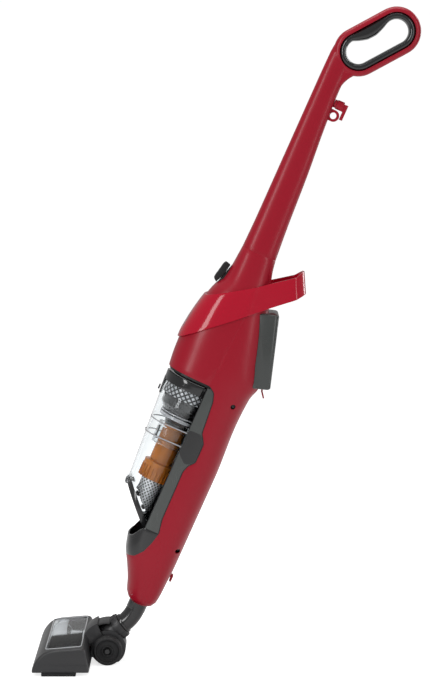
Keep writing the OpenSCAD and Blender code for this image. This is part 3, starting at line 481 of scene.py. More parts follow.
def rounded(points, radius, steps=4):
    """A closed outline with its corners eased."""
    out = []
    n = len(points)
    for i in range(n):
        p, a, b = Vector(points[i]), Vector(points[i - 1]), Vector(points[(i + 1) % n])
        r = radius[i] if isinstance(radius, (list, tuple)) else radius
        ra, rb = min(r, (a - p).length * 0.48), min(r, (b - p).length * 0.48)
        if min(ra, rb) < 0.05:
            out.append(tuple(p))
            continue
        pa, pb = p + (a - p).normalized() * ra, p + (b - p).normalized() * rb
        for k in range(steps + 1):
            t = k / steps
            q = pa * (1 - t) ** 2 + p * 2 * t * (1 - t) + pb * t * t
            out.append((q.x, q.y))
    return out


def shrunk(points, t):
    """A closed outline moved inwards by t."""
    area = sum(points[i - 1][0] * points[i][1] - points[i][0] * points[i - 1][1] for i in range(len(points)))
    turn = 1 if area > 0 else -1
    out = []
    for i in range(len(points)):
        a, p, b = Vector(points[i - 1]), Vector(points[i]), Vector(points[(i + 1) % len(points)])
        d = ((p - a).normalized() + (b - p).normalized()).normalized()
        reach = t / max(0.35, d.dot((b - p).normalized()))
        out.append((p.x - turn * d.y * reach, p.y + turn * d.x * reach))
    return out


# ---------------------------------------------------------------- finishes

def group_of(name, inputs, outputs):
    """A shader node group with named sockets."""
    tree = bpy.data.node_groups.new(name, "ShaderNodeTree")
    for label, kind, value in inputs:
        s = tree.interface.new_socket(label, in_out="INPUT", socket_type=kind)
        if value is not None:
            s.default_value = value
    for label, kind in outputs:
        tree.interface.new_socket(label, in_out="OUTPUT", socket_type=kind)
    return tree, tree.nodes.new("NodeGroupInput"), tree.nodes.new("NodeGroupOutput")


def feed(tree, value, socket):
    """Puts a link or a plain value into a socket."""
    if hasattr(value, "links"):
        tree.links.new(value, socket)
    else:
        socket.default_value = value


def maths(tree, op, a, b=None, clamp=False):
    n = tree.nodes.new("ShaderNodeMath")
    n.operation = op
    n.use_clamp = clamp
    for i, v in enumerate((a, b)):
        if v is not None:
            feed(tree, v, n.inputs[i])
    return n.outputs[0]


def above(tree, value, low, gain):
    """How far a value lies above a low mark, scaled up and held between 0 and 1."""
    return maths(tree, "MULTIPLY", maths(tree, "SUBTRACT", value, low, True), gain, True)


def noise(tree, vector, scale, detail=3.0, rough=0.55):
    n = tree.nodes.new("ShaderNodeTexNoise")
    n.inputs["Detail"].default_value = detail
    n.inputs["Roughness"].default_value = rough
    tree.links.new(vector, n.inputs["Vector"])
    feed(tree, scale, n.inputs["Scale"])
    return n.outputs["Fac"]


def mixed(tree, fac, a, b, how="MIX"):
    n = tree.nodes.new("ShaderNodeMix")
    n.data_type = "RGBA"
    n.blend_type = how
    for socket, v in ((n.inputs["Factor"], fac), (n.inputs[6], a), (n.inputs[7], b)):
        feed(tree, v, socket)
    return n.outputs[2]


def make_moulded_grain():
    """Spark-eroded grain, slow colour drift and handling marks of a moulded plastic."""
    tree, start, end = group_of("moulded_grain", [
        ("Vector", "NodeSocketVector", None), ("Colour", "NodeSocketColor", (0.5, 0.5, 0.5, 1)),
        ("Roughness", "NodeSocketFloat", 0.4), ("Grain Scale", "NodeSocketFloat", 2600.0),
        ("Drift", "NodeSocketFloat", 0.08), ("Marks", "NodeSocketFloat", 0.1)],
        [("Colour", "NodeSocketColor"), ("Roughness", "NodeSocketFloat"), ("Height", "NodeSocketFloat")])
    vec = start.outputs["Vector"]
    grain = noise(tree, vec, start.outputs["Grain Scale"], 2.0, 0.6)
    slow = noise(tree, vec, 14.0, 4.0, 0.5)
    stretch = tree.nodes.new("ShaderNodeMapping")
    stretch.inputs["Scale"].default_value = (900, 1100, 60)
    stretch.inputs["Rotation"].default_value = (0.4, 0.5, 0.2)
    tree.links.new(vec, stretch.inputs["Vector"])
    lines = noise(tree, stretch.outputs["Vector"], 1.0, 3.0, 0.7)
    patch = noise(tree, vec, 32.0, 2.0, 0.5)
    marks = maths(tree, "MULTIPLY", above(tree, lines, 0.56, 5.0), above(tree, patch, 0.5, 3.0))
    marks = maths(tree, "MULTIPLY", marks, start.outputs["Marks"])
    dark = mixed(tree, 1.0, start.outputs["Colour"], (0.72, 0.72, 0.72, 1), "MULTIPLY")
    shade = maths(tree, "MULTIPLY", maths(tree, "MULTIPLY", slow, start.outputs["Drift"]), 2.0, True)
    col = mixed(tree, shade, start.outputs["Colour"], dark)
    col = mixed(tree, marks, col, (0.55, 0.53, 0.52, 1))
    spread = maths(tree, "MULTIPLY", maths(tree, "SUBTRACT", slow, 0.5), 0.16)
    rough = maths(tree, "ADD", start.outputs["Roughness"], spread)
    rough = maths(tree, "ADD", rough, maths(tree, "MULTIPLY", marks, 1.4))
    fine = maths(tree, "MULTIPLY", maths(tree, "SUBTRACT", grain, 0.5), 0.10)
    rough = maths(tree, "ADD", rough, fine, True)
    tree.links.new(col, end.inputs["Colour"])
    tree.links.new(rough, end.inputs["Roughness"])
    tree.links.new(grain, end.inputs["Height"])
    return tree


def make_house_dust():
    """Fine pale dust that lies on what faces up."""
    tree, start, end = group_of("house_dust", [
        ("Vector", "NodeSocketVector", None), ("Colour", "NodeSocketColor", (0.5, 0.5, 0.5, 1)),
        ("Amount", "NodeSocketFloat", 0.05)], [("Colour", "NodeSocketColor"), ("Mask", "NodeSocketFloat")])
    geo = tree.nodes.new("ShaderNodeNewGeometry")
    split = tree.nodes.new("ShaderNodeSeparateXYZ")
    tree.links.new(geo.outputs["Normal"], split.inputs[0])
    up = above(tree, split.outputs["Z"], 0.35, 1.6)
    speck = above(tree, noise(tree, start.outputs["Vector"], 520.0, 4.0, 0.7), 0.52, 6.0)
    mask = maths(tree, "MULTIPLY", maths(tree, "MULTIPLY", up, speck), start.outputs["Amount"])
    tree.links.new(mixed(tree, mask, start.outputs["Colour"], (0.60, 0.58, 0.55, 1)), end.inputs["Colour"])
    tree.links.new(mask, end.inputs["Mask"])
    return tree


def make_diamond_net():
    """Diamond openings round a tube that leans with the body: angle and height crossed."""
    tree, start, end = group_of("diamond_net", [
        ("Vector", "NodeSocketVector", None), ("Round", "NodeSocketFloat", 16.0),
        ("Rise", "NodeSocketFloat", 900.0), ("Open", "NodeSocketFloat", 0.45)], [("Mask", "NodeSocketFloat")])
    place = tree.nodes.new("ShaderNodeMapping")
    place.vector_type = "TEXTURE"
    place.inputs["Location"].default_value = STANCE @ Vector((CUP_X * MM, 0, 0))
    place.inputs["Rotation"].default_value = (0, math.radians(LEAN), 0)
    tree.links.new(start.outputs["Vector"], place.inputs["Vector"])
    split = tree.nodes.new("ShaderNodeSeparateXYZ")
    tree.links.new(place.outputs["Vector"], split.inputs[0])
    angle = maths(tree, "ARCTAN2", split.outputs["Y"], split.outputs["X"])
    angle = maths(tree, "MULTIPLY", angle, start.outputs["Round"])
    rise = maths(tree, "MULTIPLY", split.outputs["Z"], start.outputs["Rise"])
    one = maths(tree, "ABSOLUTE", maths(tree, "SINE", maths(tree, "ADD", angle, rise)))
    two = maths(tree, "ABSOLUTE", maths(tree, "SINE", maths(tree, "SUBTRACT", angle, rise)))
    both = maths(tree, "MINIMUM", one, two)
    mask = above(tree, both, start.outputs["Open"], 9.0)
    tree.links.new(mask, end.inputs["Mask"])
    return tree


def base_finish(name):
    """A new material with its shader and the object coordinates."""
    mat = bpy.data.materials.new(name)
    mat.use_nodes = True
    tree = mat.node_tree
    shader = next(n for n in tree.nodes if n.type == "BSDF_PRINCIPLED")
    coord = tree.nodes.new("ShaderNodeTexCoord")
    return mat, tree, shader, coord.outputs["Object"]


def place_group(tree, name, vector, **values):
    g = tree.nodes.new("ShaderNodeGroup")
    g.node_tree = bpy.data.node_groups[name]
    tree.links.new(vector, g.inputs["Vector"])
    for key, v in values.items():
        feed(tree, v, g.inputs[key.replace("_", " ")])
    return g


def bump(tree, shader, height, strength, distance):
    b = tree.nodes.new("ShaderNodeBump")
    b.inputs["Strength"].default_value = strength
    b.inputs["Distance"].default_value = distance
    tree.links.new(height, b.inputs["Height"])
    tree.links.new(b.outputs["Normal"], shader.inputs["Normal"])


def wire(tree, shader, grain, strength, distance):
    """Joins a grain group's colour, roughness and height to a shader."""
    tree.links.new(grain.outputs["Colour"], shader.inputs["Base Color"])
    tree.links.new(grain.outputs["Roughness"], shader.inputs["Roughness"])
    bump(tree, shader, grain.outputs["Height"], strength, distance)


def moulded(name, tint, rough, grain=0.25, scale=2600.0, drift=0.08, marks=0.08, coat=0.0, dust=0.05,
            coat_rough=0.05, sheen=0.5):
    mat, tree, shader, vec = base_finish(name)
    g = place_group(tree, "moulded_grain", vec, Colour=(*tint, 1), Roughness=rough, Grain_Scale=scale,
                    Drift=drift, Marks=marks)
    d = place_group(tree, "house_dust", vec, Colour=g.outputs["Colour"], Amount=dust)
    tree.links.new(d.outputs["Colour"], shader.inputs["Base Color"])
    tree.links.new(g.outputs["Roughness"], shader.inputs["Roughness"])
    bump(tree, shader, g.outputs["Height"], grain, 0.00012)
    shader.inputs["Coat Weight"].default_value = coat
    shader.inputs["Coat Roughness"].default_value = coat_rough
    shader.inputs["Specular IOR Level"].default_value = sheen
    return mat


def clear_plastic(name, tint, rough=0.03, weight=1.0):
    mat, tree, shader, vec = base_finish(name)
    g = place_group(tree, "moulded_grain", vec, Colour=(*tint, 1), Roughness=rough, Grain_Scale=420.0,
                    Drift=0.05, Marks=0.05)
    wire(tree, shader, g, 0.03, 0.00008)
    shader.inputs["Transmission Weight"].default_value = weight
    shader.inputs["IOR"].default_value = 1.30
    return mat


def metal(name, tint, rough, scale=(1500, 1500, 40)):
    mat, tree, shader, vec = base_finish(name)
    stretch = tree.nodes.new("ShaderNodeMapping")
    stretch.inputs["Scale"].default_value = scale
    tree.links.new(vec, stretch.inputs["Vector"])
    g = place_group(tree, "moulded_grain", stretch.outputs["Vector"], Colour=(*tint, 1), Roughness=rough,
                    Grain_Scale=1.0, Drift=0.1, Marks=0.02)
    wire(tree, shader, g, 0.2, 0.00006)
    shader.inputs["Metallic"].default_value = 1.0
    return mat


def soft_fibre(name, tint, rough=0.9, scale=1400.0, strength=0.8):
    mat, tree, shader, vec = base_finish(name)
    g = place_group(tree, "moulded_grain", vec, Colour=(*tint, 1), Roughness=rough, Grain_Scale=scale,
                    Drift=0.35, Marks=0.0)
    wire(tree, shader, g, strength, 0.0006)
    shader.inputs["Sheen Weight"].default_value = 0.3
    return mat


def diamond_steel(name, tint, hole, rnd, rise, opening):
    mat, tree, shader, vec = base_finish(name)
    net = place_group(tree, "diamond_net", vec, Round=rnd, Rise=rise, Open=opening)
    g = place_group(tree, "moulded_grain", vec, Colour=(*tint, 1), Roughness=0.3, Grain_Scale=1800.0,
                    Drift=0.1, Marks=0.02)
    both = mixed(tree, net.outputs["Mask"], g.outputs["Colour"], (*hole, 1))
    tree.links.new(both, shader.inputs["Base Color"])
    tree.links.new(g.outputs["Roughness"], shader.inputs["Roughness"])
    shader.inputs["Metallic"].default_value = 0.25
    bump(tree, shader, maths(tree, "SUBTRACT", 1.0, net.outputs["Mask"]), 0.7, 0.0008)
    return mat


FINISH = {}


def scaled(tint, share):
    return [v * share for v in tint]


def make_finishes(c):
    """Every material of the machine, from the user's colours."""
    make_moulded_grain()
    make_house_dust()
    make_diamond_net()
    # name, colour, roughness, grain, grain scale, drift, marks, coat, dust, coat roughness, specular level
    for name, tint, *values in (
            ("satin_red", c.satin_red, 0.34, 0.22, 2600, 0.07, 0.03, 0.12, 0.01, 0.18, 0.30),
            ("gloss_red", c.gloss_red, 0.16, 0.02, 900, 0.03, 0.02, 0.45, 0.0, 0.02, 0.25),
            ("gloss_black", c.black, 0.14, 0.03, 900, 0.05, 0.10, 0.8, 0.06, 0.03),
            ("matt_black", c.black, 0.42, 0.35, 2200, 0.12, 0.16, 0.0, 0.10),
            ("charcoal", c.charcoal, 0.40, 0.30, 2400, 0.10, 0.14, 0.1, 0.12, 0.2),
            ("charcoal_gloss", scaled(c.charcoal, 0.55), 0.22, 0.06, 1200, 0.06, 0.10, 0.6, 0.08, 0.05),
            ("trim", c.trim, 0.26, 0.12, 2200, 0.08, 0.10, 0.35, 0.08, 0.10),
            ("vent_grey", scaled(c.trim, 0.75), 0.30, 0.16, 2200, 0.08, 0.06, 0.2, 0.06),
            ("rubber", scaled(c.black, 1.3), 0.62, 0.5, 1500, 0.2, 0.2, 0.0, 0.22),
            ("pale", c.pale, 0.30, 0.1, 1800, 0.06, 0.05, 0.2, 0.0),
            ("silver_lacquer", (0.42, 0.42, 0.44), 0.28, 0.05, 2600, 0.04, 0.05, 0.6, 0.03),
            ("board_green", (0.015, 0.10, 0.035), 0.35, 0.1, 1800)):
        FINISH[name] = moulded(name, tint, *values)
    for make, rows in (
            (clear_plastic, (("clear", (0.93, 0.95, 0.96)), ("amber", c.amber, 0.14, 0.35))),
            (metal, (("steel", c.steel, 0.28), ("aluminium", (0.78, 0.79, 0.80), 0.34),
                     ("copper", (0.62, 0.28, 0.14), 0.35, (300, 300, 2600)))),
            (diamond_steel, (("net_steel", (0.80, 0.81, 0.83), (0.05, 0.05, 0.05), 9.0, 420.0, 0.55),
                             ("net_dark", (0.02, 0.02, 0.02), (0.50, 0.51, 0.53), 14.0, 330.0, 0.50))),
            (soft_fibre, (("foam", (0.035, 0.035, 0.04), 0.95, 900.0, 1.0),
                          ("filter_paper", (0.78, 0.78, 0.75), 0.9, 1600.0, 0.5),
                          ("nylon", c.bristle, 0.55, 2600.0, 0.4)))):
        for name, *values in rows:
            FINISH[name] = make(name, *values)


# ---------------------------------------------------------------- casings

AHEAD, BEHIND = -140, 200
SIDES = (("left", -1), ("right", 1))


def sizes():
    return bpy.context.scene.vacuum_sizes


def casing_shell(name):
    """The whole casing as one shell, which its halves, hood, cover, trim and chin are cut from."""
    step = sizes().loft_step / MM
    floor_row = (S_BASE + WALL, *between(BODY, S_BASE + 6))
    inner = [floor_row] + [r for r in BODY if r[0] > S_BASE + 9]
    below, above = [[v + t for v, t in zip(row, (WALL, -WALL, -WALL))]
                    for row in (between(BODY, S_NECK - 1), BODY[-1][1:])]
    outer = loft(name, BODY, step)
    hollow = loft("hollow", inner, step, WALL)
    top = skin("hollow_top", [section(S_NECK - 1, *below), section(S_NECK + 3, *above)])
    return cut(outer, hollow, top)


def side_prism(outline, width=2 * FAR):
    """A cutter right across the machine, from an outline in side view."""
    return prism("outline", outline, width)


def pipe_hole():
    return rod("pipe_hole", PIPE_R + 0.1, 30, 17, 0, 97, "Z")


def other_half(sign, low, high):
    """A block over the far side of the middle plane, short of it by half the lap."""
    lap = sizes().seam_lap / MM / 2
    return block("other_half", (-FAR, -FAR if sign > 0 else lap, low), (FAR, -lap if sign > 0 else FAR, high))


def turned(x, z, degrees):
    """A place on the middle plane, turned about the sideways axis."""
    return Matrix.Translation((x * MM, 0, z * MM)) @ Matrix.Rotation(math.radians(degrees), 4, "Y")


EXHAUST_PLACE = turned(54, 516, -EX_TURN)
SWITCH_PLACE = turned(-88, 651, 16.5)
BADGE_PLACE = turned(-103.6, 565, -86)
CUP_PLACE = Matrix.Translation((CUP_X * MM, 0, 0))


class VACUUM_OT_casings(bpy.types.Operator):
    """Red casing halves, front hood and lower cover"""
    bl_idname = "vacuum.casings"
    bl_label = "Casings"

    def execute(self, context):
        edge = sizes().edge_round
        shell = casing_shell("casing_shell")
        spine_outline = (LOWER_SEAM + CHIN_TIP + BAY_REAR + HOOD_SEAM
                         + [(AHEAD, S_NECK), (BEHIND, S_NECK), (BEHIND, S_BASE - 5)])
        spine = keep(copy_of(shell, "spine"), side_prism(spine_outline))
        cut(spine, pipe_hole(), settle(block("switch_slot", (-5, -4, 11), (25, 4, 27)), SWITCH_PLACE))
        for k in range(7):
            slot = block("slot", (-15, -30, 20 + 15 * k), (15, 30, 26 + 15 * k))
            cut(spine, settle(slot, EXHAUST_PLACE))
        gland = Matrix.Translation((49 * MM, 24 * MM, 504 * MM)) @ Matrix.Rotation(math.radians(105), 4, "Y")
        cut(spine, settle(rod("gland_hole", 8.05, 40, axis="Z"), gland))
        for side, sign in SIDES:
            half = cut(copy_of(spine, "spine_" + side), other_half(sign, -FAR, 4 * FAR))
            if side == "left":
                for x, z, y in SCREWS:
                    cut(half, rod("screw_recess", 4.2, 60, x, y - 30, z))
            hand_over(half, "main_body", ["spine_" + side], "satin_red", edge)
        bpy.data.objects.remove(spine)

        hood = keep(copy_of(shell, "front_hood"), side_prism([(AHEAD, S_HOOD)] + HOOD_SEAM))
        hand_over(hood, "main_body", ["front_hood"], "satin_red", edge)
        lower = keep(copy_of(shell, "lower_cover"), side_prism(
            [(AHEAD, S_BASE - 5)] + LOWER_SEAM + CHIN_TIP + CHIN_LOW + [(AHEAD, S_CHIN)]))
        cut(lower, pipe_hole())
        hand_over(lower, "main_body", ["lower_cover"], "satin_red", edge)
        shell.name = "casing_shell_spare"
        return {"FINISHED"}


class VACUUM_OT_trim(bpy.types.Operator):
    """Grey sides of the cup bay and the dark chin under the cup"""
    bl_idname = "vacuum.trim"
    bl_label = "Bay Trim and Chin"

    def execute(self, context):
        shell = bpy.data.objects["casing_shell_spare"]
        play, ceiling = 1.4, S_HOOD - 4.5
        bay_line = [(BAY_FRONT, S_BAY0)] + CHIN_TIP + BAY_REAR + [(BAY_FRONT, S_HOOD)]
        bay = keep(copy_of(shell, "bay_trim"), side_prism(bay_line))
        room = lathe("cup_room", [(cup_r(s) + play, s) for s in (S_BAY0 - 10, S_HOOD)], 96, False)
        settle(room, CUP_PLACE)
        cut(bay, copy_of(room, "cup_room_2"), block("ceiling", (-60, -FAR, ceiling), (140, FAR, S_HOOD + 6)))
        # the trim finish's grey holds a painted reflection on top of its own dark colour
        hand_over(bay, "main_body", ["cup_bay"], "trim", 0.0011, 3)

        liner = lathe("bay_liner", [(cup_r(s) + out, s) for s, out in (
            (S_BAY0, play), (S_BAY0, 4), (ceiling, 4), (ceiling, play))], 96)
        settle(liner, CUP_PLACE)
        cut(liner, block("liner_front", (-FAR, -FAR, 0), (BAY_FRONT, FAR, 600)),
            rod("inlet_hole", INLET_R + 0.5, 90, 0, 0, S_INLET, "X"))
        hand_over(liner, "main_body", [], "charcoal", 0.0004, 1, 40)

        slab = block("face_slab", (BAY_FRONT, -FAR, S_BAY0), (BAY_FRONT + WALL, FAR, S_HOOD - 5))
        face = keep(loft("bay_face", BODY, 12, 1.6, S_BAY0, S_HOOD - 5), slab)
        cut(face, room)
        hand_over(face, "main_body", [], "charcoal_gloss", 0.0004, 1, 40)

        # dark beads along the trim's edges, which are painted shade in the seam gaps, and the pad behind the
        # clear inlet band
        rear = spaced([q for q in rounded(bay_line, 3.0, 3) if q[0] > BAY_FRONT + 0.6], 4)
        for side, sign in SIDES:
            behind = [(q.x, sign * on_casing(q.x, q.y, -0.1), q.y) for q in rear]
            front = [(BAY_FRONT - 0.1, sign * on_casing(BAY_FRONT, z, -1.2), z) for z in range(226, 486, 5)]
            for name, run, radius in (("trim_bead_", behind, 0.75), ("cup_bead_", front, 0.9)):
                bead = tube(name + side, run, radius)
                hand_over(bead, "main_body", [], "matt_black", flat=None)
        pad_line = [(-27.6, 366), (-12, 352), (-3, 356), (3.4, 364), (3.4, 394), (-6, 409), (-27.6, 409)]
        pad = keep(loft("inlet_pad", BODY, 6, -0.45, 340, 420), side_prism(rounded(pad_line, 4, 3)))
        cut(pad, loft("pad_hollow", BODY, 6, 0.6, 335, 425))
        hand_over(pad, "main_body", [], "gloss_black", 0.0002, 1, 40, flat=0)

        chin = keep(shell, side_prism(
            [(AHEAD, S_CHIN)] + CHIN_LOW[::-1] + CHIN_TIP + CHIN_TOP[::-1] + [(AHEAD, S_BAY)]))
        soften(clean(named(chin, "chin_shell")), 0.0010, 3, 38)
        tray = keep(loft("chin_tray", BODY, 8, WALL, 150, 230), side_prism(
            [(-60, S_BAY - 14), (-8, S_BAY + 6), (-8, S_BAY + 8.6), (-60, S_BAY - 11.4)]))
        soften(clean(tray), 0.0004, 1, 40)
        chin = settle(gather("chin_cradle_shell", [chin, tray]), STANCE)
        show(chin, "main_body", ["chin_cradle"], FINISH["charcoal_gloss"])
        return {"FINISHED"}


# ---------------------------------------------------------------- handle

LOOP_LENGTH, LOOP_TURN = 72.0, math.radians(37.7)
LOOP_FOOT = Vector((-26.0, S_GRIP))
LOOP_R, INSERT_R, HAND_R, LOOP_HALF = 41.0, 31.98, 20.0, 15.0
# how far the soft insert swells into the hand hole, as (distance along the front side, swell)
SWELL = [(0, 0), (8, 4), (16, 7.2), (24, 9.6), (34, 10), (40, 9.8), (48, 7.6), (56, 5), (64, 1.4), (70, 0)]


def loop_axes():
    """Directions along the grip loop and across it to the front, in side view."""
    sin, cos = math.sin(LOOP_TURN), math.cos(LOOP_TURN)
    return Vector((sin, cos)), Vector((-cos, sin))


def stadium(r, steps=24):
    """The grip loop's outline in side view."""
    d, p = loop_axes()
    turns = [math.pi * k / steps for k in range(steps + 1)]
    out = [LOOP_FOOT + p * (r * math.cos(t)) - d * (r * math.sin(t)) for t in turns]
    out += [LOOP_FOOT + d * LOOP_LENGTH - p * (r * math.cos(t)) + d * (r * math.sin(t)) for t in turns]
    return [(q.x, q.y) for q in out]


def insert_path(steps=24):
    """Places round the hand hole: a point on the loop's middle line, its outward direction and the swell."""
    d, p = loop_axes()
    turns = [math.pi * k / steps for k in range(steps + 1)]
    runs = [LOOP_LENGTH * k / steps for k in range(1, steps)]
    far_end = LOOP_FOOT + d * LOOP_LENGTH
    out = [(LOOP_FOOT, -p * math.cos(t) - d * math.sin(t), 0.0) for t in turns]
    out += [(LOOP_FOOT + d * u, p, along(SWELL, u)) for u in runs]
    out += [(far_end, p * math.cos(t) + d * math.sin(t), 0.0) for t in turns]
    out += [(LOOP_FOOT + d * LOOP_LENGTH * (1 - k / 12), -p, 0.0) for k in range(1, 12)]
    return [(c.x, c.y, n.x, n.y, w) for c, n, w in out]


def round_slab(name, outline_at, half, edge, steps=6):
    """A slab between -half and half whose outline shrinks on an arc towards both faces."""
    turns = [math.pi / 2 * k / steps for k in range(steps + 1)]
    ys = [(-half + edge - edge * math.cos(t), edge - edge * math.sin(t)) for t in turns]
    ys += [(-y, s) for y, s in ys[::-1]]
    return skin(name, [[(x, y, z) for x, z in outline_at(s)] for y, s in ys])


class VACUUM_OT_handle(bpy.types.Operator):
    """Handle halves with the grip loop, its soft insert and the cord hooks"""
    bl_idname = "vacuum.handle"
    bl_label = "Handle"

    def execute(self, context):
        size = sizes()
        bar = loft("handle", HANDLE, size.loft_step / MM)
        grip = round_slab("grip_loop", lambda s: stadium(LOOP_R - s), LOOP_HALF, size.grip_round / MM)
        a, b, c = Vector((-29.5, S_GRIP - 66)), Vector((-25, S_GRIP - 42)), Vector((-3, S_GRIP - 28))
        shares = [k / 10 for k in range(11)]
        curve = [tuple(a * (1 - t) ** 2 + b * 2 * t * (1 - t) + c * t * t) for t in shares]
        web_line = [(-62, S_GRIP - 45)] + curve + [(-20, S_GRIP), (-62, S_GRIP)]
        web = round_slab("web", lambda s: shrunk(web_line, s), LOOP_HALF - 1.5, 4.5, 4)
        join(bar, grip, web)
        pivot_seat = settle(rod("pivot_seat", 7.05, 8, axis="X"), turned(-23.5, 1006, 0))
        cut(bar, prism("insert_hole", stadium(INSERT_R), 80), pivot_seat)
        for side, sign in SIDES:
            part = cut(copy_of(bar, "handle_" + side), other_half(sign, 0, 3 * FAR))
            hand_over(part, "main_body", ["handle_" + side], "satin_red", 0.0005, 2, 50, 40)
        bpy.data.objects.remove(bar)

        rings = []
        turns = [2 * math.pi * k / 20 for k in range(20)]
        for x, z, nx, nz, swell in insert_path():
            inner, outer = HAND_R - swell, INSERT_R - 0.05
            mid, reach = (inner + outer) / 2, (outer - inner) / 2
            outs = [mid + reach * power(math.cos(t), 0.72) for t in turns]
            rings.append([(x + nx * d, (LOOP_HALF + 1.0) * power(math.sin(t), 0.8), z + nz * d)
                          for d, t in zip(outs, turns)])
        insert = skin("grip_insert_ring", rings + [rings[0]], True)
        hand_over(insert, "main_body", ["grip_insert"], "gloss_black", smooth=50, flat=None)

        fittings = (("cord_eye", "main_body", 0.0011), ("hook_pivot", "main_body", 0.0005),
                    ("upper_cord_hook", "cord_hook", 0.0012), ("lower_cord_hook", "main_body", 0.0012))
        show_refined([(node, node + "_moulded", width, 3, body, "satin_red", "satin_red")
                      for node, body, width in fittings])
        return {"FINISHED"}


# ---------------------------------------------------------------- carry band, badge, switch, exhaust

def along(points, x):
    """Height of a broken line at x."""
    if x <= points[0][0]:
        return points[0][1]
    for (x0, z0), (x1, z1) in zip(points, points[1:]):
        if x <= x1:
            return z0 + (z1 - z0) * (x - x0) / (x1 - x0)
    return points[-1][1]


# the band's lower and upper edges in side view, and its round rear end, which leans back
BAND_LOW = [(-130, 522), (-78, 570), (13, 650), (48, 679), (60, 693.5), (64, 697)]
BAND_HIGH = [(-130, 606), (-89, 629), (-22, 673), (33, 714), (41, 727), (52, 730)]
BAND_END = Vector((10.0, 0.0, 711.0))
BAND_END_R = 34.0
BAND_TILT = math.radians(28)
# depth where the band leaves the hood, and how far from the end's centre its arms meet the round
BAND_LEAVES, BAND_MEETS = -22, 19
BAND_T = 3.3


def band_point(i, s, out):
    """One of 128 places round the band, at a height and a distance outside its inner face."""
    end_x = BAND_END.x - (s - BAND_END.z) * math.tan(BAND_TILT)
    stretch = 1 / math.cos(BAND_TILT)
    x1, y1 = end_x + BAND_MEETS * stretch, math.sqrt(BAND_END_R ** 2 - BAND_MEETS ** 2)
    front, rear, half = between(BODY, s)
    mid, reach = (front + rear) / 2, (rear - front) / 2
    share = abs((BAND_LEAVES - mid) / reach) ** (FULLNESS / 2)
    turn = math.acos(-share if BAND_LEAVES < mid else share)
    if i < 72:
        t = turn + (2 * math.pi - 2 * turn) * i / 71
        return (mid + (reach + out) * power(math.cos(t), 2 / FULLNESS),
                (half + out) * power(math.sin(t), 2 / FULLNESS))
    side = half * power(math.sin(turn), 2 / FULLNESS)
    grow = out * 0.97
    if i < 88:
        t = (i - 71) / 17
        return BAND_LEAVES + (x1 - BAND_LEAVES) * t, -(side + (y1 - side) * t) - grow
    if i < 112:
        start = math.atan2(-y1, BAND_MEETS)
        a = start - 2 * start * (i - 88) / 23
        return end_x + (BAND_END_R + out) * math.cos(a) * stretch, (BAND_END_R + out) * math.sin(a)
    t = (i - 111) / 17
    return x1 + (BAND_LEAVES - x1) * t, y1 + (side - y1) * t + grow


def band_ring(v, out):
    """A run round the band, a share v of the way from its lower edge to its upper one."""
    pts = []
    for i in range(128):
        s = 620.0
        for _ in range(24):
            x, y = band_point(i, s, out)
            target = along(BAND_LOW, x) * (1 - v) + along(BAND_HIGH, x) * v
            s += 0.6 * (target - s)
        pts.append((*band_point(i, s, out), s))
    return pts


class VACUUM_OT_band(bpy.types.Operator):
    """Gloss carry band with its badge disc"""
    bl_idname = "vacuum.band"
    bl_label = "Carry Band"

    def execute(self, context):
        rows = 10
        outer = [band_ring(k / rows, BAND_T) for k in range(rows + 1)]
        inner = [band_ring(k / rows, 0.25) for k in range(rows, -1, -1)]
        band = skin("carry_band_gloss", outer + inner + [outer[0]], True)
        cut(band, settle(rod("badge_hole", 17.3, 30, axis="Z"), BADGE_PLACE))
        hand_over(band, "main_body", ["carry_band"], "gloss_red", 0.0009, 3, 45, 40, flat=0)

        disc = lathe("badge_plain", [(0.3, -3), (17, -3), (17, 2.7), (16.4, 3.4), (15.2, 3.4), (14.4, 2.9),
                                     (0.3, 3.2)], 64, False)
        cut(settle(disc, BADGE_PLACE), loft("hood_form", BODY, 8, -0.1, 520, 610))
        hand_over(disc, "main_body", ["badge_disc"], "silver_lacquer", 0.0002, 1, 40)
        return {"FINISHED"}


class VACUUM_OT_switch(bpy.types.Operator):
    """Ribbed sliding power switch in its bezel"""
    bl_idname = "vacuum.switch"
    bl_label = "Power Switch"

    def execute(self, context):
        line = [(1.0, 0.8), (-4.5, 3.0), (-6.2, 4.2), (-7.0, 8), (-7.4, 12), (-7.8, 18), (-8.4, 25),
                (-9.0, 30), (-8.9, 34), (-7.6, 37.4), (-4, 37.9), (1.2, 37.9), (2.4, 28), (3.0, 19), (2.2, 9)]
        knob = prism("switch_knob", line, 19.6)
        for k in range(5):
            cut(knob, block("groove", (-12, -7.5, 10 + 3.4 * k), (-6.9 - 0.12 * k, 7.5, 11.4 + 3.4 * k)))
        soften(clean(knob), 0.0011, 3, 32)
        stem = block("switch_stem", (-0.5, -3, 12), (18, 3, 20))
        knob = gather("switch_knob", [knob, soften(stem, 0.0003, 1)])
        settle(knob, STANCE @ SWITCH_PLACE)
        bezel = prism("switch_bezel", [(3.8, -4), (14, -4), (14, 44), (3.8, 46)], 17)
        cut(bezel, block("bezel_slot", (0, -4, 11), (20, 4, 27)))
        hand_over(bezel, "main_body", [], "matt_black", 0.0008, 2, 40, flat=None,
                  place=STANCE @ SWITCH_PLACE)
        show(knob, "power_switch", ["switch_slider"], FINISH["matt_black"])
        return {"FINISHED"}


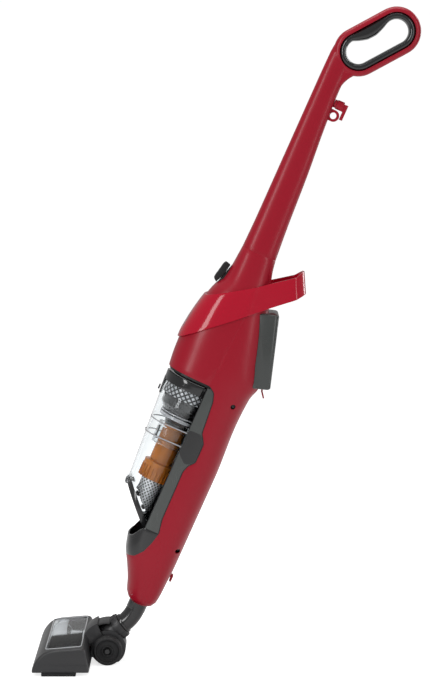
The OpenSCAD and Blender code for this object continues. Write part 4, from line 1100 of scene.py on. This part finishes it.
class VACUUM_OT_exhaust(bpy.types.Operator):
    """Louvred exhaust cover with its pull tab"""
    bl_idname = "vacuum.exhaust"
    bl_label = "Exhaust Cover"

    def execute(self, context):
        low, high, half, deep, wall = 2.0, 130.0, 43.9, 18.0, 2.6

        def slab(t, z):
            corner = 9.0 - t
            x, y = deep - t - corner, half - t - corner
            turns = [math.pi / 2 * k / 8 for k in range(9)]
            pts = [(-24.0, -half + t), (-24.0, half - t)]
            pts += [(x + corner * math.sin(a), y + corner * math.cos(a)) for a in turns]
            pts += [(x + corner * math.cos(a), -y - corner * math.sin(a)) for a in turns]
            return [(x, y, z) for x, y in pts]

        steps = [(low, 3.0), (low + 1.0, 1.2), (low + 3.0, 0.0),
                 (high - 3.0, 0.0), (high - 1.0, 1.2), (high, 3.0)]
        cover = skin("exhaust_shell", [slab(t, z) for z, t in steps])
        inside = (-30, -half + wall, low + wall), (deep - 2.0, half - wall, high - wall)
        cut(cover, block("cover_room", *inside))
        for k in range(10):
            cut(cover, block("louvre", (deep - 5, -34, 12 + 11.5 * k), (deep + 5, 34, 17 + 11.5 * k)))
        cut(settle(cover, EXHAUST_PLACE), loft("body_form", BODY, 8, -SLIP, 480, 700))
        hand_over(cover, "exhaust_panel", ["exhaust_cover"], "vent_grey", 0.0007)
        show_refined([("cover_latch", "pull_tab", 0.0008, 3, "panel_latch", "satin_red", "satin_red")])
        return {"FINISHED"}


# ---------------------------------------------------------------- dust cup

def inlet_edge_highlight(sign):
    """One side's run round the clear inlet band, over the cup's front, round its rear end and back below: the
    line of a light bead that is a painted highlight on the band's edge.
    """
    r, end_x, drop = cup_r(386) + 0.5, -5, 25.0
    turns = [math.radians(172 - 5.5 * k) for k in range(15)]
    line = [(CUP_X + r * math.cos(a), r * math.sin(a)) for a in turns]
    line += [(-21, 57.6), (-12, 57.4), (end_x, 56.4)]
    upper = [Vector((x, sign * y, 397.5 + 0.06 * (x + 90))) for x, y in line]
    turns = [math.pi / 2 - math.pi * k / 8 for k in range(1, 8)]
    end = [Vector((end_x + 6.5 * math.cos(t), sign * 55.4, 389.5 + drop / 2 * math.sin(t))) for t in turns]
    return spaced(upper + end + [p - Vector((0, 0, drop)) for p in reversed(upper)], 4)


class VACUUM_OT_cup(bpy.types.Operator):
    """Clear cup with the cyclone, shroud, collar, latch and slanted lid"""
    bl_idname = "vacuum.cup"
    bl_label = "Dust Cup"

    def execute(self, context):
        pieces = (
            ("cup_wall", "clear", "clear", 0.0004, "dust_cup"),
            ("inlet_scroll", "clear", "clear", 0.0004, "dust_cup"),
            ("cup_collar", "gloss_black", "black_plastic", 0.0009, "dust_cup"),
            ("cyclone_tube", "amber", "amber", 0.0003, "dust_cup"),
            ("dirt_collar", "amber", "amber", 0.0004, "dust_cup"),
            ("mesh_cone", "net_steel", "mesh_steel", 0.0003, "dust_cup"),
            ("shroud_screen", "charcoal_gloss", "trim_grey", 0.0003, "dust_cup"),
            ("lid_pin", "steel", "steel", 0.0002, "dust_cup"),
            ("cup_latch", "matt_black", "black_plastic", 0.0007, "release_button"),
            ("cup_lid", "charcoal_gloss", "dark_grey", 0.0010, "lid"),
            ("lid_seal", "rubber", "soft_black", 0.0003, "lid"))
        show_refined([(node, node + "_moulded", width, 2, body, slot, finish)
                      for node, finish, slot, width, body in pieces])
        for name, line, finish in (
                ("shroud_net", [(44.2, 447), (46.3, 447), (46.7, 466), (44.2, 466)], "net_dark"),
                ("shroud_skirt", [(33.5, 419), (34.6, 419), (42.5, 431), (42.5, 446.8), (41.5, 446.8),
                                  (41.5, 432)], "gloss_black"),
                ("shroud_ring", [(34.2, 409), (36.4, 409), (36.4, 418.6), (34.2, 418.6)], "silver_lacquer")):
            hand_over(lathe(name, line, 96), "dust_cup", [], finish, flat=None,
                      place=STANCE @ CUP_PLACE)
        # light silver beads along the clear inlet band's edges: a painted highlight on the glass edge
        for side, sign in SIDES:
            bead = tube("inlet_outline_" + side, inlet_edge_highlight(sign), 1.1)
            hand_over(bead, "dust_cup", [], "silver_lacquer", flat=None)
        finish_nodes((("foam_filter", "foam"),))
        return {"FINISHED"}


# ---------------------------------------------------------------- neck and floor head

class VACUUM_OT_neck(bpy.types.Operator):
    """Bent neck pipe, ribbed swivel collar and yoke"""
    bl_idname = "vacuum.neck"
    bl_label = "Neck"

    def execute(self, context):
        show_refined([
            ("neck_pipe", "neck_pipe_smooth", 0.0005, 2, "main_body", "dark_grey", "charcoal_gloss"),
            ("swivel_collar", "collar_ribbed", 0.0005, 2, "neck_yoke", "dark_grey", "charcoal"),
            ("yoke", "yoke_moulded", 0.0006, 2, "neck_yoke", "dark_grey", "charcoal")])
        return {"FINISHED"}


# the floor head's outline in side view, and the easing of each of its corners
HEAD_LINE = [(-124, 6), (-124, 12), (-118, 27), (-101, 44), (-41, 49), (-34, 45), (-28, 12), (-28, 6)]
HEAD_EASE = [1.5, 4, 10, 16, 10, 6, 3, 1.5]
HEAD_WALL = 2.4
WINDOW = [(-101, -106), (-41, -106), (-41, 106), (-101, 106)]


def head_form(name, t=0.0, end=7.0):
    """The floor head's whole form, a wall thickness inwards, with its ends rounded by an end radius."""
    rings = [(-(HEAD_HALF - t), 0.0)]
    if end:
        turns = [math.pi / 2 * k / 6 for k in range(7)]
        rings = [(-(HEAD_HALF - t) + end - end * math.cos(a), (end - end * math.sin(a)) * 0.55)
                 for a in turns]
    rings += [(-y, s) for y, s in rings[::-1]]
    return skin(name, [[(x, y, z) for x, z in rounded(shrunk(HEAD_LINE, t + s), HEAD_EASE, 5)]
                       for y, s in rings])


def upright(name, outline, low, high):
    """A seen-from-above outline of (x, y) points between two heights."""
    return skin(name, [[(x, y, z) for x, y in outline] for z in (low, high)])


def make_head_cover():
    """The upper shell with the window opening, and the dome behind it."""
    cover = head_form("head_cover_shell", 0)
    cut(cover, head_form("inside", HEAD_WALL, 0),
        block("below", (-FAR, -FAR, -FAR), (FAR, FAR, SPLIT_Z + 0.1)))
    cut(cover, upright("window_hole", rounded(WINDOW, 7, 5), 30, 70))
    dome = rod("dome", DOME_R, CHAMBER + 2 * CHEEK_T, 0, 0, PIVOT_H, sides=128)
    cut(dome, rod("dome_inside", DOME_R - HEAD_WALL, CHAMBER, 0, 0, PIVOT_H, sides=128),
        head_form("inside", HEAD_WALL, 0))
    # the dome ends on a line that leans back with the neck
    tan, dz = math.tan(math.radians(22.5)), SPLIT_Z + 11.2
    cut(dome, side_prism([(-60, -100), (-60, 100), (-40.9, 100), (-40.9, dz), (tan * (PIVOT_H - dz), dz),
                          (tan * -60, PIVOT_H + 60), (100, 100), (100, -100)]))
    join(cover, dome)
    cut(cover, rod("dome_clear", DOME_R - HEAD_WALL, CHAMBER, 0, 0, PIVOT_H, sides=128),
        rod("pivot_clear", 11.3, 500, 0, 0, PIVOT_H))
    hand_over(cover, "floor_head", ["head_cover"], "charcoal", 0.0008, 3, 35, place=None)


def make_window():
    """The clear pane, and a pale bead along its rim that is a painted highlight on the glass edge."""
    pane = head_form("window_pane", 0)
    cut(pane, head_form("inside", HEAD_WALL - 0.4, 0))
    keep(pane, upright("pane_outline", shrunk(rounded(WINDOW, 7, 5), 0.25), 38, 70))
    hand_over(pane, "floor_head", ["head_window"], "clear", 0.0007, 3, 35, place=None)
    # the top of the head rises from 44 mm at the window's front by 1 mm in 12
    rim_line = [(x, y, 44 + (x + 101) / 12 + 0.15) for x, y in rounded(WINDOW, 7, 5)]
    # a pale bead round the window opening: a painted highlight on the glass edge
    rim = tube("window_rim", rim_line, 0.75, 8, True)
    hand_over(rim, "floor_head", [], "pale", flat=None, place=None)


def make_inner_hood():
    """The pale hood over the brush, seen through the window."""
    outer, inner = 21.6, 20.3
    turns = [math.radians(165 - 7 * k) for k in range(17)]
    over, under = [[(BRUSH_X + r * math.cos(a), BRUSH_Z + r * math.sin(a)) for a in turns]
                   for r in (outer, inner)]
    hood = prism("inner_hood", over + under[::-1], 208)
    for y in (-70, 70):
        join(hood, rod("hood_rib", outer + 0.3, 2.4, BRUSH_X, y, BRUSH_Z, sides=96))
    cut(hood, rod("hood_room", inner, 230, BRUSH_X, 0, BRUSH_Z, sides=96),
        block("hood_foot", (-130, -120, -20), (-60, 120, 24)))
    hand_over(hood, "floor_head", [], "pale", flat=0, place=None)


def make_head_base():
    """The lower shell with the suction mouth and the cheeks that hold the wheels."""
    base = head_form("head_base_shell", 0)
    cut(base, head_form("inside", HEAD_WALL, 0), block("above", (-FAR, -FAR, SPLIT_Z), (FAR, FAR, FAR)))
    line = rounded([(-30, 10), (3, 11), (8, 16), (11, 25), (8, 34), (0, 36), (-27.9, 32), (-27.9, 21),
                    (-30, 21)], 3, 4)
    for sign in (-1, 1):
        ends = sorted((sign * CHEEK_Y, sign * (CHEEK_Y + CHEEK_T)))
        join(base, skin("cheek", [[(x, y, z) for x, z in line] for y in ends]))
    cut(base, block("mouth", (-106, -104, -5), (-68, 104, 17)), rod("axle_bore", 4, 200, 0, 0, PIVOT_H),
        rod("drum_room", DRUM_R + 1, CHAMBER, 0, 0, PIVOT_H, sides=96))
    hand_over(base, "floor_head", ["head_base"], "charcoal", 0.0008, 3, 35, place=None)


class VACUUM_OT_head(bpy.types.Operator):
    """Floor head with its window, dome, cheeks, air duct and sole"""
    bl_idname = "vacuum.head"
    bl_label = "Floor Head"

    def execute(self, context):
        make_head_cover()
        make_window()
        make_inner_hood()
        make_head_base()
        show_refined([
            ("sole_skid", "sole_plate", 0.0012, 3, "floor_head", "dark_grey", "matt_black"),
            ("air_duct", "duct_pale", 0.0022, 4, "floor_head", "duct_white", "pale")])
        finish_nodes((("brush_bearings", "steel"), ("drive_belt", "rubber"), ("wheel_axles", "charcoal")))
        return {"FINISHED"}


class VACUUM_OT_brush(bpy.types.Operator):
    """Brush roll with spiral rows of tufts, and the air turbine"""
    bl_idname = "vacuum.brush"
    bl_label = "Brush and Turbine"

    def execute(self, context):
        show_refined([("brush_roll", "roll_core", 0.0006, 2, "brush", "dark_grey", "charcoal")])
        count = sizes().tuft_count
        reach = BRUSH_HALF - 22
        tufts = []
        for row in range(4):
            for k in range(count):
                u = -1 + 2 * k / (count - 1)
                bpy.ops.object.select_all(action="DESELECT")
                bpy.ops.mesh.primitive_cone_add(vertices=7, radius1=1.1 * MM, radius2=2.0 * MM,
                                                depth=7.6 * MM)
                tuft = bpy.context.active_object
                turn = math.radians(90 * row + 42 * u)
                tuft.matrix_world = (Matrix.Translation((BRUSH_X * MM, u * reach * MM, BRUSH_Z * MM))
                                     @ Matrix.Rotation(turn, 4, "Y") @ Matrix.Translation((0, 0, 15.1 * MM)))
                tufts.append(tuft)
        tufts = gather("tufts", tufts)
        hand_over(tufts, "brush", ["brush_bristles"], "nylon", smooth=50, flat=None,
                  place=tufts.matrix_world.copy())
        show_refined([
            ("turbine", "turbine_moulded", 0.0002, 1, "turbine_wheel", "black_plastic", "matt_black")])
        return {"FINISHED"}


class VACUUM_OT_wheels(bpy.types.Operator):
    """Rear wheels with a soft tread, a rim ring and a dished hub"""
    bl_idname = "vacuum.wheels"
    bl_label = "Rear Wheels"

    def execute(self, context):
        # profile from the outer face (height 10) to the inner face, as (radius, height)
        line = [(4.06, 3.5), (6.4, 3.5), (6.9, 6.2), (7.6, 7.6), (9.4, 7.6), (10, 6.8), (10.4, 5.0),
                (17.6, 5.0), (18.4, 5.6), (18.9, 7.6), (19.2, 8.6), (20.0, 9.4), (21.4, 10), (22.6, 9.6),
                (23.4, 8.7), (24.6, 7.6), (25, 6), (25, 2.4), (24.5, 2.0), (24.5, 1.0), (25, 0.6),
                (25, -6), (24.4, -8), (22.8, -9.7), (21, -10), (4.06, -10)]
        for side, sign in SIDES:
            wheel = lathe("wheel_" + side, line, 96)
            place = Matrix.Translation((0, sign * 39 * MM, PIVOT_H * MM))
            hand_over(wheel, "wheel_" + side, ["rear_wheel_" + side], "rubber", 0.0003, 2, 35,
                      flat=None, place=place @ Matrix.Rotation(math.radians(-90 * sign), 4, "X"))
        return {"FINISHED"}


class VACUUM_OT_workings(bpy.types.Operator):
    """Finishes of the motor, fan, ducts, board, filter and fixings"""
    bl_idname = "vacuum.workings"
    bl_label = "Workings"

    def execute(self, context):
        finish_nodes((
            ("cord_gland", "rubber"), ("intake_plate", "matt_black"), ("suction_duct", "charcoal"),
            ("fan_housing", "charcoal"), ("fan_impeller", "aluminium"), ("motor_can", "steel"),
            ("motor_stator", "copper"), ("motor_rotor", "steel"), ("motor_bearings", "steel"),
            ("motor_mount", "rubber"), ("control_board", "board_green"), ("switch_body", "matt_black"),
            ("exhaust_filter", "filter_paper")))
        screws = refined("housing_screws", "screws_turned", 0.0004, 2)
        for x, z, y in SCREWS:
            for wide, tall in ((2, 0.5), (0.5, 2)):
                slot = block("cross", (x - wide, y - 3.4, z - tall), (x + wide, y - 1.9, z + tall))
                cut(screws, settle(slot, STANCE))
        soften(screws, 0)
        show(screws, "main_body", ["housing_screws"], FINISH["gloss_black"])
        return {"FINISHED"}


# ---------------------------------------------------------------- stage

def area_light(name, size_x, size_y, energy, place, aim):
    data = bpy.data.lights.new(name, "AREA")
    data.shape = "RECTANGLE"
    data.size, data.size_y = size_x, size_y
    data.energy = energy * sizes().light_strength
    obj = bpy.data.objects.new(name, data)
    bpy.context.scene.collection.objects.link(obj)
    obj.location = place
    obj.rotation_euler = (Vector(aim) - Vector(place)).to_track_quat("-Z", "Y").to_euler()
    return obj


def looked_at(tree, strength):
    """A strength that holds where the camera looks, straight or through a clear piece, and is 0 elsewhere."""
    path = tree.nodes.new("ShaderNodeLightPath")
    seen = maths(tree, "MAXIMUM", path.outputs["Is Camera Ray"], path.outputs["Is Transmission Ray"])
    return maths(tree, "MULTIPLY", seen, strength)


class VACUUM_OT_stage(bpy.types.Operator):
    """Pale floor, soft lights and the camera"""
    bl_idname = "vacuum.stage"
    bl_label = "Stage"

    def execute(self, context):
        bpy.ops.object.select_all(action="DESELECT")
        bpy.ops.mesh.primitive_plane_add(size=120)
        floor = named(bpy.context.active_object, "studio_floor")
        bpy.ops.object.mode_set(mode="EDIT")
        bpy.ops.mesh.select_all(action="SELECT")
        bpy.ops.mesh.subdivide(number_cuts=8)
        bpy.ops.object.mode_set(mode="OBJECT")
        mat, tree, shader, vec = base_finish("floor_paint")
        g = place_group(tree, "moulded_grain", vec, Colour=(0.86, 0.86, 0.86, 1), Roughness=0.7,
                        Grain_Scale=60.0, Drift=0.02, Marks=0.0)
        tree.links.new(g.outputs["Colour"], shader.inputs["Base Color"])
        tree.links.new(g.outputs["Roughness"], shader.inputs["Roughness"])
        # the floor glows a little where it is looked at, so that it stays pale to the horizon
        shader.inputs["Emission Color"].default_value = (1, 1, 1, 1)
        tree.links.new(looked_at(tree, 0.74), shader.inputs["Emission Strength"])
        floor.data.materials.append(mat)

        world = bpy.data.worlds.new("studio_air")
        world.use_nodes = True
        back = world.node_tree.nodes["Background"]
        back.inputs["Color"].default_value = (1, 1, 1, 1)
        air = world.node_tree
        strength = maths(air, "ADD", looked_at(air, 0.68), 0.34 * sizes().light_strength)
        air.links.new(strength, back.inputs["Strength"])
        context.scene.world = world
        aim = (0.18, 0, 0.55)
        area_light("key_light", 0.7, 2.2, 30, (-1.5, -2.2, 1.7), aim)
        area_light("fill_light", 0.5, 2.4, 12, (2.2, -1.8, 1.2), aim)
        area_light("top_light", 2.2, 1.2, 26, (0.2, 0.2, 2.9), aim)
        area_light("edge_light", 0.4, 2.2, 16, (1.9, 1.6, 1.4), aim)

        data = bpy.data.cameras.new("studio_camera")
        data.lens = 2250 / 700 * 36
        data.sensor_width = 36
        data.clip_end = 50
        cam = bpy.data.objects.new("studio_camera", data)
        context.scene.collection.objects.link(cam)
        far = sizes().camera_distance
        target = Vector((0.184, 0, 0.538))
        cam.location = target + Vector((0, -far, far * math.tan(math.radians(7.1))))
        cam.rotation_euler = (target - cam.location).to_track_quat("-Z", "Y").to_euler()
        context.scene.camera = cam
        context.scene.view_settings.view_transform = "Standard"
        return {"FINISHED"}


# ---------------------------------------------------------------- panel and registration

OPERATORS = [VACUUM_OT_stage, VACUUM_OT_casings, VACUUM_OT_trim, VACUUM_OT_handle, VACUUM_OT_band,
             VACUUM_OT_switch, VACUUM_OT_exhaust, VACUUM_OT_cup, VACUUM_OT_neck, VACUUM_OT_head,
             VACUUM_OT_brush, VACUUM_OT_wheels, VACUUM_OT_workings]


class VACUUM_PT_panel(bpy.types.Panel):
    """Sizes, colours and building steps of the vacuum"""
    bl_idname = "VACUUM_PT_panel"
    bl_label = "Stick Vacuum"
    bl_space_type = "VIEW_3D"
    bl_region_type = "UI"
    bl_category = "Vacuum"

    def draw(self, context):
        column = self.layout.column()
        for group in (context.scene.vacuum_sizes, context.scene.vacuum_colours):
            for key in group.bl_rna.properties.keys():
                if key not in ("rna_type", "name"):
                    column.prop(group, key)
        for op in OPERATORS:
            column.operator(op.bl_idname)


CLASSES = [VacuumSizes, VacuumColours] + OPERATORS + [VACUUM_PT_panel]


def register():
    for c in CLASSES:
        bpy.utils.register_class(c)
    bpy.types.Scene.vacuum_sizes = bpy.props.PointerProperty(type=VacuumSizes)
    bpy.types.Scene.vacuum_colours = bpy.props.PointerProperty(type=VacuumColours)


def unregister():
    del bpy.types.Scene.vacuum_colours
    del bpy.types.Scene.vacuum_sizes
    for c in reversed(CLASSES):
        bpy.utils.unregister_class(c)


def main():
    register()
    make_finishes(bpy.context.scene.vacuum_colours)
    for op in OPERATORS:
        area, name = op.bl_idname.split(".")
        getattr(getattr(bpy.ops, area), name)()


if __name__ == "__main__":
    main()
